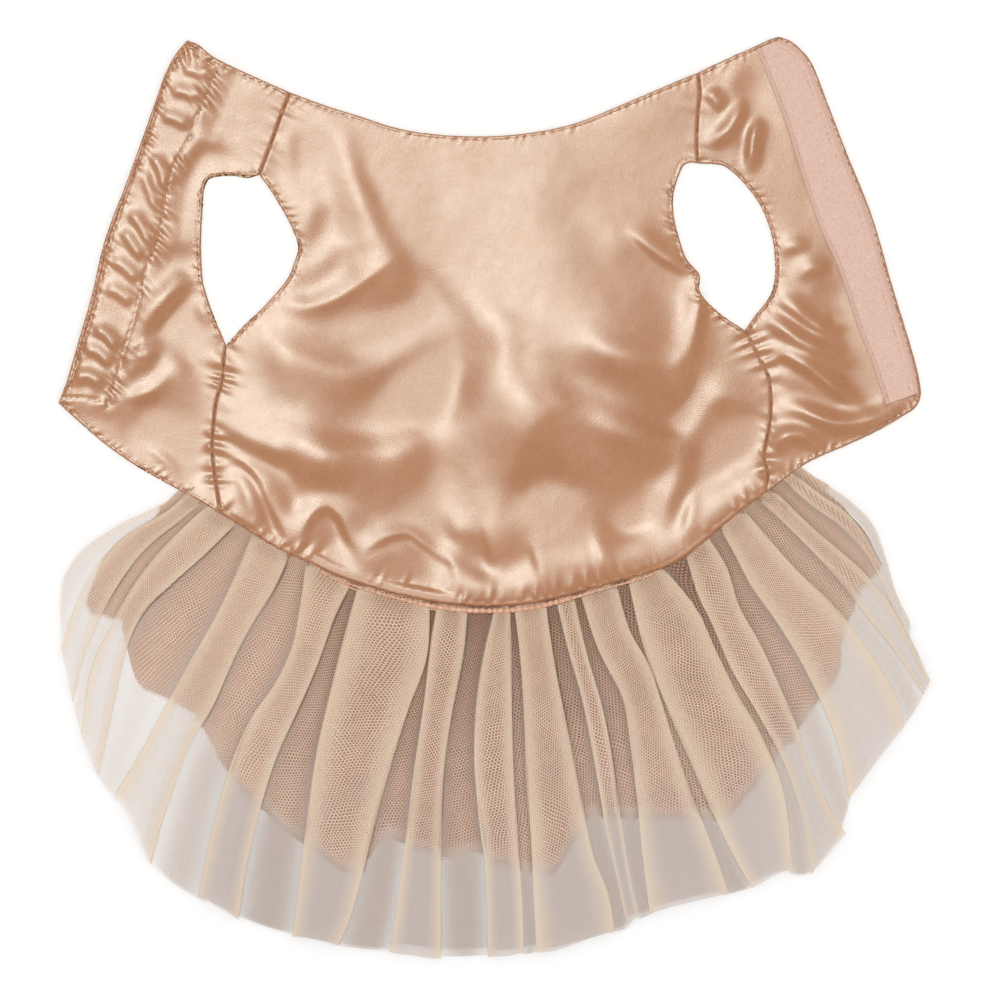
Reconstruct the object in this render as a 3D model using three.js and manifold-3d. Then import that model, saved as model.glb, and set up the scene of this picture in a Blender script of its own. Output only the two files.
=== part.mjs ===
// Small dog's dress, opened flat and laid with its satin lining up.
// Millimetres. +X is the wearer's-left to right across the opened dress, +Y runs from hem to neck, +Z is up from the floor.
// Bodice: three outer panels (glitter cloth) with three lining panels (satin) on them, joined at shoulder and side seams,
// an armhole between the back panel and each front wing. Below the waist: a short net skirt under a longer fine sheer skirt.
import * as THREE from "three";
import { mergeVertices } from "three/addons/utils/BufferGeometryUtils.js";
import Module from "manifold-3d";

const wasm = await Module();
wasm.setup();

// ---------------------------------------------------------------- driving dimensions
const GAP = 0.3; // clearance between neighbouring pieces
const OUTER_WALL = 1.0; // glitter cloth with its backing
const LINING_WALL = 1.0; // satin lining
const NET_WALL = 1.0; // short net skirt, two plies deep
const SHEER_WALL = 1.0; // long sheer skirt
const SEAM_HALF = 0.2; // half the gap at a seam between two panels
const TAPE_WALL = 1.2; // hook and loop tape
const LOOP_TAPE_WIDTH = 18.0; // loop tape on the right wing, lining side
const HOOK_TAPE_WIDTH = 18.0; // hook tape under the left wing
const EDGE_MARGIN = 9.0; // lining lies flat this near to an edge or seam
const GRID = 12.0; // cell of the lining's surface grid
const EDGE_STEP = 8.0; // spacing of points along an outline
const PIPING_WIDTH = 3.0; // rolled seam edge along the middle of the waist
const PIPING_RISE = 1.6;
const SKIRT_CREST_SPLIT = 2; // surface steps between two skirt folds
const GATHER_RISE = 0.55; // share of a fold's height right at the waist
const HEM_RISE = 0.75; // share of a fold's height at the hem

// ---------------------------------------------------------------- tables, one row for each section or fold
const table = (columns, rows) =>
  rows.map((r) => Object.fromEntries(columns.map((c, i) => [c, r[i]])));

// Neck edge from the left wing's top corner to the right wing's, with the left wing's small step.
const NECK = table(["x", "y"], [
  [-153.5, 229.5], [-136, 219], [-102, 203.5], [-67, 191.5], [-33.5, 182.5], [-10.5, 181.5],
  [11.5, 182.5], [43.5, 189], [63, 197], [102, 213.5], [131.5, 227], [142.5, 231.5],
]);
const RIGHT_WING_EDGE = table(["x", "y"], [
  [142.5, 231.5], [153, 225.5], [158.5, 219], [176, 174.5], [189, 142], [210.5, 69.5],
  [213, 58.5], [213.5, 51.5], [209.5, 44.5],
]);
const RIGHT_WING_FOOT = table(["x", "y"], [
  [209.5, 44.5], [193.5, 35], [179, 28], [153.5, 14.5],
]);
const LEFT_WING_FOOT = table(["x", "y"], [
  [-158.5, 5.5], [-175, 14], [-191.5, 25], [-206.5, 37.5], [-218, 48],
]);
const LEFT_WING_EDGE = table(["x", "y"], [
  [-218, 48], [-208, 79], [-195.5, 127], [-176, 180.5], [-164, 214], [-153.5, 229.5],
]);
const LEFT_SHOULDER_SEAM = table(["x", "y"], [
  [-102, 203.5], [-106.5, 193.5], [-112.5, 177], [-120, 160.6],
]);
const RIGHT_SHOULDER_SEAM = table(["x", "y"], [
  [102, 213.5], [101.8, 192], [101.5, 179], [102, 167.5],
]);
const LEFT_SIDE_SEAM = table(["x", "y"], [
  [-134, 77], [-136, 58.5], [-140, 42], [-141, 24], [-139, 8], [-136, -8.5],
]);
const RIGHT_SIDE_SEAM = table(["x", "y"], [
  [125.5, 84.5], [133, 70], [138, 54.5], [137.5, 37], [135.5, 21], [136, 3],
]);
// Armholes: teardrops, point down. Each row is the opening's two sides at one height.
const LEFT_ARMHOLE = table(["y", "left", "right"], [
  [160.6, -143.5, -120], [154.5, -145, -113], [147.5, -145.5, -107.5], [139.5, -146, -103],
  [127, -146.5, -98.5], [118.5, -146, -99.5], [109, -145.5, -104], [99.5, -142.5, -112],
  [91.5, -140, -120], [84.5, -137, -127], [77, -134, -134],
]);
const RIGHT_ARMHOLE = table(["y", "left", "right"], [
  [168, 97, 107], [164.5, 93, 117], [157, 90.5, 125], [146, 90, 133.5], [131, 94, 138.5],
  [117, 99.5, 140.5], [107, 103, 139.5], [94.5, 111.5, 132], [88.5, 119.5, 128], [84.5, 125.5, 125.5],
]);
// Skirt folds from the left side edge round to the right one. waist, mid and hem are points on the fold's line,
// net is how far down that line the net skirt's hem comes, rise is how high the sheer's fold stands.
const FOLDS = table(["name", "waistX", "waistY", "midX", "midY", "hemX", "hemY", "net", "rise"], [
  ["left_edge", -158.5, 5.5, -189, -14, -215.5, -40.5, 0.8, 1],
  ["left_in", -151, 1, -188, -31.5, -217, -68.5, 0.82, 2],
  ["p1", -136, -8.5, -177, -58, -211, -103, 0.65, 7],
  ["p1_p2", -124, -16.5, -164.5, -75.5, -198.5, -139.5, 0.67, 0],
  ["p2", -112, -23, -149.5, -95.5, -180.5, -165.5, 0.58, 9],
  ["p2_p3", -97, -30, -132, -103, -163, -193, 0.64, 0],
  ["p3", -83, -36.5, -113.5, -123, -141, -204.5, 0.68, 9],
  ["p3_p4", -71, -41.5, -97, -130.5, -116, -215.5, 0.73, 0],
  ["p4", -52, -47, -71, -135.5, -88, -224, 0.78, 10],
  ["p4_p5", -32.5, -51.5, -49.5, -135.5, -59.5, -225.5, 0.7, 0],
  ["p5", -19.5, -53.2, -28.5, -140.5, -32, -230, 0.73, 8],
  ["p5_p6", -7, -54, -13, -140.5, -7, -230.5, 0.73, 0],
  ["p6", 8, -53.8, 8, -140.5, 19, -227.5, 0.77, 9],
  ["p7", 25.5, -51, 31.5, -130.5, 45, -224.5, 0.81, 9],
  ["p7_p8", 38, -48.2, 50.5, -125.5, 65.5, -216, 0.71, 0],
  ["p8", 54, -43.2, 73, -125.5, 93, -205, 0.72, 10],
  ["p8_p9", 69, -39, 93, -120.5, 114, -200, 0.76, 1],
  ["p9", 80.5, -36.5, 109, -110.5, 134, -193.5, 0.77, 6],
  ["p9_p10", 92, -31, 125.5, -103, 152, -190.5, 0.7, 0],
  ["p10", 104, -23, 142, -100.5, 174.5, -167.5, 0.64, 10],
  ["p10_p11", 114, -14.5, 149.5, -85.5, 182, -148, 0.65, 0],
  ["p11", 122, -8.5, 157, -68, 199.5, -123, 0.69, 8],
  ["p11_p12", 129, -2.5, 168, -50.5, 217, -95.5, 0.64, 1],
  ["p12", 136, 3, 173, -35.5, 209.5, -75.5, 0.65, 7],
  ["p12_right", 144, 9, 180.5, -20.5, 207, -57.5, 0.73, 1],
  ["right_edge", 153.5, 14.5, 182, -3.5, 197, -33, 0.77, 1],
]);
// Ridges of the loose satin lining, each a soft ridge from one end to the other.
const RIDGES = table(["name", "x1", "y1", "x2", "y2", "half", "rise"], [
  ["left_arch_a", -111.5, 84, -78, 70, 7, 4], ["left_arch_b", -78, 70, -26, 97, 8, 5],
  ["left_second_a", -109, 44.5, -83, 24.5, 8, 4], ["left_second_b", -83, 24.5, -45, 38.5, 8, 4.5],
  ["seam_lip_a", -138, 21.5, -114, 7.5, 5, 3], ["seam_lip_b", -114, 7.5, -100, -18, 6, 4.5],
  ["seam_lip_c", -100, -18, -83, -2.5, 5, 3.5], ["seam_lip_d", -83, -2.5, -68, -23, 6, 4],
  ["seam_lip_e", -68, -23, -45, -12.5, 6, 3.5], ["seam_lip_f", -45, -12.5, -24.5, -29.5, 6, 3],
  ["column", -26, 23, -6.5, -15.5, 7, 5], ["right_of_column", 25, 10, 49.5, -2.5, 7, 4],
  ["chest_left", -77, 154.5, -97, 102, 7, 4], ["arm_lip", -104.5, 98, -67, 109.5, 5, 3.5],
  ["tuck_edge", 103.5, 110.5, 98, 72, 5, 5], ["tuck_curve", 76, 124.5, 99, 109.5, 5, 3.5],
  ["arm_right_low", 105.5, 82, 124, 60.5, 6, 4], ["right_stripe_a", 130, 42.5, 108.5, 22, 5, 4],
  ["right_stripe_b", 108.5, 22, 91.5, -9.5, 5, 3.5], ["centre_left_soft", -32, 159.5, -47, 114.5, 11, 3],
  ["centre_right_soft", 33, 134.5, 48, 39.5, 15, 3.5], ["centre_low_soft", 3, 59.5, 53, 29.5, 13, 3],
  ["wing_right_1", 138.5, 96.5, 172, 84, 5, 3], ["wing_right_2", 137, 75.5, 172, 73.5, 5, 3.5],
  ["wing_right_3", 140.5, 58, 176, 51.5, 5, 3.5], ["wing_right_4", 144, 38, 184, 40, 5, 3],
  ["wing_left_1", -152, 114.5, -171, 90.5, 5, 3.5], ["wing_left_2", -153.5, 79, -148, 54.5, 5, 3.5],
  ["wing_left_3", -186, 51, -161, 68.5, 5, 4], ["wing_left_4", -180, 31, -152, 10, 5, 3.5],
]);
// The part of the waist that shows its rolled seam edge.
const PIPING = { fromX: -88, toX: 82 };
// The loop tape lies along the right wing's edge and the hook tape under the left wing's edge, between these heights.
const LOOP_TAPE = { top: 223, foot: 50, inset: 1.5 };
const HOOK_TAPE = { top: 214, foot: 54, inset: 2.5 };

// ---------------------------------------------------------------- curves
const v2 = (x, y) => new THREE.Vector2(x, y);
// Points along a soft curve through a table's x and y columns, about `step` apart.
function along(rows, step = EDGE_STEP) {
  const c = new THREE.CatmullRomCurve3(
    rows.map((r) => new THREE.Vector3(r.x, r.y, 0)), false, "centripetal");
  const n = Math.max(2, Math.round(c.getLength() / step));
  return c.getSpacedPoints(n).map((p) => v2(p.x, p.y));
}
// One side of an armhole, from the top row to its point.
const side = (rows, which) => along(rows.map((r) => ({ x: r[which], y: r.y })));
const joined = (...runs) => {
  const out = [];
  for (const run of runs)
    for (const p of run)
      if (!out.length || out[out.length - 1].distanceTo(p) > 0.05) out.push(p);
  if (out[0].distanceTo(out[out.length - 1]) < 0.05) out.pop();
  return out;
};
const back = (run) => run.slice().reverse();
const shifted = (run, dx) => run.map((p) => v2(p.x + dx, p.y));

// The waist, through the folds' waist points; it is the bodice's lower edge and the skirts' upper one.
const waistCurve = new THREE.CatmullRomCurve3(
  FOLDS.map((f) => new THREE.Vector3(f.waistX, f.waistY, 0)), false, "centripetal");
const foldAt = (u) => u * (FOLDS.length - 1);
// Value of a column between the folds' rows, eased so that crests and valleys are round.
function between(column, u, ease = false) {
  const s = foldAt(u), i = Math.min(FOLDS.length - 2, Math.floor(s));
  let t = s - i;
  if (ease) t = 0.5 - 0.5 * Math.cos(Math.PI * t);
  return FOLDS[i][column] * (1 - t) + FOLDS[i + 1][column] * t;
}
const throughColumns = (cx, cy) => {
  const c = new THREE.CatmullRomCurve3(
    FOLDS.map((f) => new THREE.Vector3(f[cx], f[cy], 0)), false, "centripetal");
  return (u) => c.getPoint(u);
};
const waistAt = (u) => waistCurve.getPoint(u);
const midAt = throughColumns("midX", "midY");
const hemAt = throughColumns("hemX", "hemY");
const waistRun = Array.from({ length: 46 }, (_, i) => {
  const p = waistAt(i / 45);
  return v2(p.x, p.y);
});
const nearestIndex = (run, x) =>
  run.reduce((best, p, i) => (Math.abs(p.x - x) < Math.abs(run[best].x - x) ? i : best), 0);

// ---------------------------------------------------------------- panel outlines
const neck = along(NECK);
const leftShoulder = along(LEFT_SHOULDER_SEAM), rightShoulder = along(RIGHT_SHOULDER_SEAM);
const leftSide = along(LEFT_SIDE_SEAM), rightSide = along(RIGHT_SIDE_SEAM);
const leftFoot = along(LEFT_WING_FOOT), rightFoot = along(RIGHT_WING_FOOT);
const leftEdge = along(LEFT_WING_EDGE), rightEdge = along(RIGHT_WING_EDGE);
const part = (run, fromX, toX) => run.filter((p) => p.x > fromX + 2 && p.x < toX - 2);
const leftTop = leftShoulder[0].x, rightTop = rightShoulder[0].x;
const leftLow = leftSide[leftSide.length - 1].x, rightLow = rightSide[rightSide.length - 1].x;

const backOutline = () => joined(
  [v2(leftTop + SEAM_HALF, leftShoulder[0].y)],
  part(neck, leftTop, rightTop),
  shifted(rightShoulder, -SEAM_HALF),
  shifted(side(RIGHT_ARMHOLE, "left"), -SEAM_HALF),
  shifted(rightSide, -SEAM_HALF),
  back(part(waistRun, leftLow, rightLow)),
  back(shifted(leftSide, SEAM_HALF)),
  back(shifted(side(LEFT_ARMHOLE, "right"), SEAM_HALF)),
  back(shifted(leftShoulder, SEAM_HALF)),
);
const leftOutline = () => joined(
  leftEdge,
  part(neck, leftEdge[leftEdge.length - 1].x, leftTop),
  shifted(leftShoulder, -SEAM_HALF),
  shifted(side(LEFT_ARMHOLE, "left"), -SEAM_HALF),
  shifted(leftSide, -SEAM_HALF),
  back(part(waistRun, -1e3, leftLow)),
  leftFoot,
);
const rightOutline = () => joined(
  rightEdge,
  rightFoot,
  back(part(waistRun, rightLow, 1e3)),
  back(shifted(rightSide, SEAM_HALF)),
  back(shifted(side(RIGHT_ARMHOLE, "right"), SEAM_HALF)),
  back(shifted(rightShoulder, SEAM_HALF)),
  part(neck, rightTop, rightEdge[0].x),
);

// ---------------------------------------------------------------- distance helpers
function toRun(x, y, run, closed = false) {
  let best = Infinity;
  const n = closed ? run.length : run.length - 1;
  for (let i = 0; i < n; i++) {
    const a = run[i], b = run[(i + 1) % run.length];
    const dx = b.x - a.x, dy = b.y - a.y;
    const t = Math.max(0, Math.min(1, ((x - a.x) * dx + (y - a.y) * dy) / (dx * dx + dy * dy || 1)));
    best = Math.min(best, Math.hypot(x - a.x - t * dx, y - a.y - t * dy));
  }
  return best;
}
const smooth = (t) => { const k = Math.max(0, Math.min(1, t)); return k * k * (3 - 2 * k); };

// ---------------------------------------------------------------- tapes along the wings' edges
// A strip beside a wing's edge, between two heights, `inset` in from the edge and `width` wide.
function tapeOutline(edge, { top, foot, inset }, width, sign) {
  const steps = 12, fine = along(edge, 1.5), outer = [], inner = [];
  const nearest = (y) => fine.reduce((m, p) => (Math.abs(p.y - y) < Math.abs(m.y - y) ? p : m));
  for (let i = 0; i <= steps; i++) {
    const y = top + ((foot - top) * i) / steps;
    const p = nearest(y), q = nearest(y - 6), r = nearest(y + 6);
    const n = v2(r.y - q.y, q.x - r.x).normalize(); // across the edge
    if (n.x * sign > 0) n.negate(); // towards the wing
    outer.push(v2(p.x + n.x * inset, p.y + n.y * inset));
    inner.push(v2(p.x + n.x * (inset + width), p.y + n.y * (inset + width)));
  }
  return joined(outer, back(inner));
}
const loopOutline = tapeOutline(RIGHT_WING_EDGE.slice(1), LOOP_TAPE, LOOP_TAPE_WIDTH, 1);
const hookOutline = tapeOutline(LEFT_WING_EDGE, HOOK_TAPE, HOOK_TAPE_WIDTH, -1);

// ---------------------------------------------------------------- surfaces
const seams = [leftShoulder, rightShoulder, leftSide, rightSide];
const inside = (x, y, run) => {
  let hit = false;
  for (let i = 0, j = run.length - 1; i < run.length; j = i++)
    if (run[i].y > y !== run[j].y > y &&
      x < ((run[j].x - run[i].x) * (y - run[i].y)) / (run[j].y - run[i].y) + run[i].x) hit = !hit;
  return hit;
};
const outlines = { back: backOutline(), left: leftOutline(), right: rightOutline() };
const clearOf = (x, y, run) => (inside(x, y, run) ? 0 : toRun(x, y, run, true));
// The left wing rises over the hook tape under it.
const overHook = (x, y) =>
  (TAPE_WALL + GAP) * (1 - smooth((clearOf(x, y, hookOutline) - GRID * 1.5) / 14));
const outerFoot = { back: () => 0, right: () => 0, left: overHook };
function liningFoot(panel, x, y) {
  const base = outerFoot[panel](x, y) + OUTER_WALL + GAP;
  let edge = toRun(x, y, outlines[panel], true);
  if (!inside(x, y, outlines[panel])) edge = 0;
  let flat = smooth((edge - 1) / EDGE_MARGIN);
  if (panel === "right") flat *= smooth((clearOf(x, y, loopOutline) - GRID * 1.5) / 8);
  let rise = 0;
  for (const r of RIDGES) {
    const dx = r.x2 - r.x1, dy = r.y2 - r.y1;
    const t = Math.max(0, Math.min(1, ((x - r.x1) * dx + (y - r.y1) * dy) / (dx * dx + dy * dy)));
    const d = Math.hypot(x - r.x1 - t * dx, y - r.y1 - t * dy) / r.half;
    rise = Math.max(rise, r.rise * Math.exp(-0.7 * d * d));
  }
  return base + flat * rise;
}

// ---------------------------------------------------------------- solids
function asManifold(geometry) {
  geometry.deleteAttribute("normal");
  geometry.deleteAttribute("uv");
  const g = mergeVertices(geometry, 1e-4);
  return new wasm.Manifold(new wasm.Mesh({
    numProp: 3,
    vertProperties: new Float32Array(g.attributes.position.array),
    triVerts: new Uint32Array(g.index.array),
  }));
}
function asGeometry(solid) {
  const m = solid.getMesh();
  const g = new THREE.BufferGeometry();
  g.setAttribute("position", new THREE.BufferAttribute(new Float32Array(m.vertProperties), 3));
  g.setIndex(new THREE.BufferAttribute(new Uint32Array(m.triVerts), 1));
  g.computeVertexNormals();
  return g;
}
function prism(outline, z0, z1) {
  const shape = new THREE.Shape(outline);
  const g = new THREE.ExtrudeGeometry(shape, { depth: z1 - z0, bevelEnabled: false });
  g.translate(0, 0, z0);
  return g;
}
// A wall of even thickness over a grid, whose foot follows `foot(x, y)`, cut to an outline.
function wall(outline, foot, thickness) {
  const xs = outline.map((p) => p.x), ys = outline.map((p) => p.y);
  const i0 = Math.floor(Math.min(...xs) / GRID) - 1, i1 = Math.ceil(Math.max(...xs) / GRID) + 1;
  const j0 = Math.floor(Math.min(...ys) / GRID) - 1, j1 = Math.ceil(Math.max(...ys) / GRID) + 1;
  const nx = i1 - i0, ny = j1 - j0, id = (i, j, top) => (top ? (nx + 1) * (ny + 1) : 0) + j * (nx + 1) + i;
  const pos = [], idx = [];
  for (const lift of [0, thickness])
    for (let j = 0; j <= ny; j++)
      for (let i = 0; i <= nx; i++) {
        const x = (i0 + i) * GRID, y = (j0 + j) * GRID;
        pos.push(x, y, foot(x, y) + lift);
      }
  for (let j = 0; j < ny; j++)
    for (let i = 0; i < nx; i++) {
      const a = id(i, j, true), b = id(i + 1, j, true), c = id(i + 1, j + 1, true), d = id(i, j + 1, true);
      idx.push(a, b, c, a, c, d);
      const e = id(i, j), f = id(i + 1, j), g = id(i + 1, j + 1), h = id(i, j + 1);
      idx.push(e, g, f, e, h, g);
    }
  const rim = (i, j, k, l) => {
    const a = id(i, j), b = id(k, l), c = id(k, l, true), d = id(i, j, true);
    idx.push(a, b, c, a, c, d);
  };
  for (let i = 0; i < nx; i++) { rim(i, 0, i + 1, 0); rim(i + 1, ny, i, ny); }
  for (let j = 0; j < ny; j++) { rim(nx, j, nx, j + 1); rim(0, j + 1, 0, j); }
  const g = new THREE.BufferGeometry();
  g.setAttribute("position", new THREE.Float32BufferAttribute(pos, 3));
  g.setIndex(idx);
  return asGeometry(asManifold(g).intersect(asManifold(prism(outline, -5, 60))));
}

// Point on the skirt: u across the folds, v from waist to hem.
function skirtPoint(u, v) {
  const w = waistAt(u), m = midAt(u), h = hemAt(u);
  const a = 2 * v * v - 3 * v + 1, b = 4 * v - 4 * v * v, c = 2 * v * v - v;
  return v2(a * w.x + b * m.x + c * h.x, a * w.y + b * m.y + c * h.y);
}
function skirtRise(u, v) {
  const along = v < 0.35 ? GATHER_RISE + (1 - GATHER_RISE) * smooth(v / 0.35)
    : 1 - (1 - HEM_RISE) * smooth((v - 0.35) / 0.65);
  return between("rise", u, true) * along;
}
// A skirt's wall: rows of points from waist to hem, each with its foot height.
function skirtWall(stops, footOf, thickness) {
  const nu = (FOLDS.length - 1) * SKIRT_CREST_SPLIT, nv = stops.length - 1;
  const pos = [], idx = [];
  const id = (i, j, top) => (top ? (nu + 1) * (nv + 1) : 0) + j * (nu + 1) + i;
  for (const top of [false, true])
    for (let j = 0; j <= nv; j++)
      for (let i = 0; i <= nu; i++) {
        const u = i / nu, v = stops[j](u), p = skirtPoint(u, v);
        pos.push(p.x, p.y, footOf(u, v, j) + (top ? thickness : 0));
      }
  for (let j = 0; j < nv; j++)
    for (let i = 0; i < nu; i++) {
      const a = id(i, j, true), b = id(i + 1, j, true), c = id(i + 1, j + 1, true), d = id(i, j + 1, true);
      idx.push(a, c, b, a, d, c);
      const e = id(i, j), f = id(i + 1, j), g = id(i + 1, j + 1), h = id(i, j + 1);
      idx.push(e, f, g, e, g, h);
    }
  const rim = (i, j, k, l) => {
    const a = id(i, j), b = id(k, l), c = id(k, l, true), d = id(i, j, true);
    idx.push(a, c, b, a, d, c);
  };
  for (let i = 0; i < nu; i++) { rim(i, 0, i + 1, 0); rim(i + 1, nv, i, nv); }
  for (let j = 0; j < nv; j++) { rim(nu, j, nu, j + 1); rim(0, j + 1, 0, j); }
  const g = new THREE.BufferGeometry();
  g.setAttribute("position", new THREE.Float32BufferAttribute(pos, 3));
  g.setIndex(idx);
  return g;
}
const START = 0.006; // the skirts start this far below the waist line
const netV = (u) => between("net", u, true);
const netStops = [0, 0.25, 0.5, 0.75, 1].map((k) => (u) => START + (netV(u) - START) * k);
const pastNet = (u) => netV(u) + 0.02;
const sheerStops = [...netStops, pastNet,
  ...[0.2, 0.6, 1].map((k) => (u) => pastNet(u) + (1 - pastNet(u)) * k)];
const netFoot = (u, v) => skirtRise(u, v);
const sheerFoot = (u, v, j) =>
  skirtRise(u, v) + (j <= netStops.length ? NET_WALL + GAP : 0);

// The rolled edge that shows along the middle of the waist: a low half-round on the lining's lower edge.
function pipingGeometry() {
  const run = waistRun.slice(nearestIndex(waistRun, PIPING.fromX), nearestIndex(waistRun, PIPING.toX) + 1);
  const path = new THREE.CatmullRomCurve3(run.map((p) => new THREE.Vector3(p.x, p.y + PIPING_WIDTH * 0.5 + 0.4, 0)), false, "centripetal");
  const half = PIPING_WIDTH / 2;
  // section in the plane across the path: first axis is up, second is sideways
  const profile = new THREE.Shape([
    v2(0, -half), v2(PIPING_RISE * 0.7, -half * 0.8), v2(PIPING_RISE, 0), v2(PIPING_RISE * 0.7, half * 0.8), v2(0, half),
  ]);
  return { path, profile };
}

// ---------------------------------------------------------------- materials
const cloth = (color, roughness) => new THREE.MeshStandardMaterial({ color, roughness, metalness: 0, side: THREE.DoubleSide });
const SATIN = cloth(0xd8a582, 0.35);
const GLITTER = cloth(0x6d5546, 0.6);
const NET = cloth(0xc9a184, 0.8);
const SHEER = cloth(0xe6d3c0, 0.7);
const LOOP = cloth(0xd8b3a2, 0.95);
const HOOK = cloth(0xc79f8c, 0.8);

const dress = new THREE.Group();
const add = (name, geometry, material) => {
  const mesh = new THREE.Mesh(geometry, material);
  mesh.name = name;
  dress.add(mesh);
  return mesh;
};

// Outer glitter panels, flat on the floor; the left one rises over the hook tape.
add("outer_back", prism(outlines.back, 0, OUTER_WALL), GLITTER);
add("outer_right_wing", prism(outlines.right, 0, OUTER_WALL), GLITTER);
add("outer_left_wing", wall(outlines.left, outerFoot.left, OUTER_WALL), GLITTER);
// Satin lining panels with their folds.
for (const [name, panel] of [["lining_back", "back"], ["lining_left_wing", "left"], ["lining_right_wing", "right"]])
  add(name, wall(outlines[panel], (x, y) => liningFoot(panel, x, y), LINING_WALL), SATIN);
// Hook and loop tapes of the belly closure.
const tapeZ = OUTER_WALL + GAP + LINING_WALL + GAP;
add("loop_tape", prism(loopOutline, tapeZ, tapeZ + TAPE_WALL), LOOP);
add("hook_tape", prism(hookOutline, 0, TAPE_WALL), HOOK);
// Rolled seam edge along the waist, on top of the lining.
{
  const { path, profile } = pipingGeometry();
  const count = 26, ring = profile.getPoints(), pos = [], idx = [];
  for (let i = 0; i <= count; i++) {
    const t = i / count, p = path.getPoint(t), d = path.getTangent(t);
    const sx = -d.y, sy = d.x;
    for (const q of ring.slice(0, 5)) {
      const x = p.x + sx * q.y, y = p.y + sy * q.y;
      pos.push(x, y, OUTER_WALL + LINING_WALL + 2 * GAP + 0.4 + q.x);
    }
  }
  const k = 5;
  for (let i = 0; i < count; i++)
    for (let j = 0; j < k; j++) {
      const a = i * k + j, b = i * k + ((j + 1) % k), c = (i + 1) * k + ((j + 1) % k), d = (i + 1) * k + j;
      idx.push(a, c, b, a, d, c);
    }
  for (let j = 1; j < k - 1; j++) {
    idx.push(0, j, j + 1);
    idx.push(count * k, count * k + j + 1, count * k + j);
  }
  const g = new THREE.BufferGeometry();
  g.setAttribute("position", new THREE.Float32BufferAttribute(pos, 3));
  g.setIndex(idx);
  const solid = asManifold(g);
  if (solid.volume() < 0) {
    const flip = g.index.array;
    for (let i = 0; i < flip.length; i += 3) [flip[i + 1], flip[i + 2]] = [flip[i + 2], flip[i + 1]];
  }
  g.computeVertexNormals();
  add("waist_seam_edge", g, SATIN);
}
// Skirts.
add("net_skirt", skirtWall(netStops, netFoot, NET_WALL), NET);
add("sheer_skirt", skirtWall(sheerStops, sheerFoot, SHEER_WALL), SHEER);

// Origin: the middle of the dress's box, at floor level.
dress.updateMatrixWorld(true);
const box = new THREE.Box3().setFromObject(dress);
dress.position.set(-(box.min.x + box.max.x) / 2, -(box.min.y + box.max.y) / 2, -box.min.z);

export default dress;
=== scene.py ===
import math
import bpy
import numpy as np
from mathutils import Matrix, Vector
from mathutils.geometry import delaunay_2d_cdt


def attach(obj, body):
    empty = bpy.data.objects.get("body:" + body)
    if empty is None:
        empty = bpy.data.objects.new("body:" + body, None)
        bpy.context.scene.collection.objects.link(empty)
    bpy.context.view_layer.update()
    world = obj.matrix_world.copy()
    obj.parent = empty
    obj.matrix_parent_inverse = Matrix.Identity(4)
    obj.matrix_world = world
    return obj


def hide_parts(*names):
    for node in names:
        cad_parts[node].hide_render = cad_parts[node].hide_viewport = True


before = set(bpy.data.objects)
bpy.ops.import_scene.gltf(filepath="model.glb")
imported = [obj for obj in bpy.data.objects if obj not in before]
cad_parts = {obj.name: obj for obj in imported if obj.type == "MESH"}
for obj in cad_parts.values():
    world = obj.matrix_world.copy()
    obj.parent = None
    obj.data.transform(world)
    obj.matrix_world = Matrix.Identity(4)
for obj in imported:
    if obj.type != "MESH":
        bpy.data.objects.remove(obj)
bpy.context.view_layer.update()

# ---------------------------------------------------------------- plan units
# The tables are in plan units of half a millimetre: x to the right, y from the
# neck towards the hem. to_m turns them into metres in the row frame.
UNIT = 0.0005
X_MID, Y_MID = 494.0, 499.0
SHIFT_X, SHIFT_Y = 0.0005, -0.0004046
MM = 0.001


def to_m(x, y):
    return (np.asarray(x, float) - X_MID) * UNIT + SHIFT_X, (Y_MID - np.asarray(y, float)) * UNIT + SHIFT_Y


def smooth(t):
    t = np.clip(t, 0.0, 1.0)
    return t * t * (3 - 2 * t)


def curve(points, step=3.0, closed=False):
    """Centripetal Catmull-Rom through points, resampled evenly at about step."""
    P = np.array(points, float)
    if len(P) == 2:
        fine = P[0] + (P[1] - P[0]) * np.linspace(0, 1, 60)[:, None]
    else:
        Q = np.vstack([2 * P[0] - P[1], P, 2 * P[-1] - P[-2]])
        fine = []
        for i in range(1, len(Q) - 2):
            a, b, c, d = Q[i - 1], Q[i], Q[i + 1], Q[i + 2]
            t0 = 0.0
            t1 = t0 + max(np.linalg.norm(b - a), 1e-6) ** 0.5
            t2 = t1 + max(np.linalg.norm(c - b), 1e-6) ** 0.5
            t3 = t2 + max(np.linalg.norm(d - c), 1e-6) ** 0.5
            t = np.linspace(t1, t2, 25)[:-1, None]
            A1 = (t1 - t) / (t1 - t0) * a + (t - t0) / (t1 - t0) * b
            A2 = (t2 - t) / (t2 - t1) * b + (t - t1) / (t2 - t1) * c
            A3 = (t3 - t) / (t3 - t2) * c + (t - t2) / (t3 - t2) * d
            B1 = (t2 - t) / (t2 - t0) * A1 + (t - t0) / (t2 - t0) * A2
            B2 = (t3 - t) / (t3 - t1) * A2 + (t - t1) / (t3 - t1) * A3
            fine.append((t2 - t) / (t2 - t1) * B1 + (t - t1) / (t2 - t1) * B2)
        fine = np.vstack(fine + [P[-1:]])
    return resample(fine, step)


def resample(P, step=None, count=None):
    P = np.asarray(P, float)
    s = np.r_[0, np.cumsum(np.linalg.norm(np.diff(P, axis=0), axis=1))]
    n = count if count else max(2, int(round(s[-1] / step)) + 1)
    at = np.linspace(0, s[-1], n)
    return np.stack([np.interp(at, s, P[:, k]) for k in range(P.shape[1])], 1)


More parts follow.
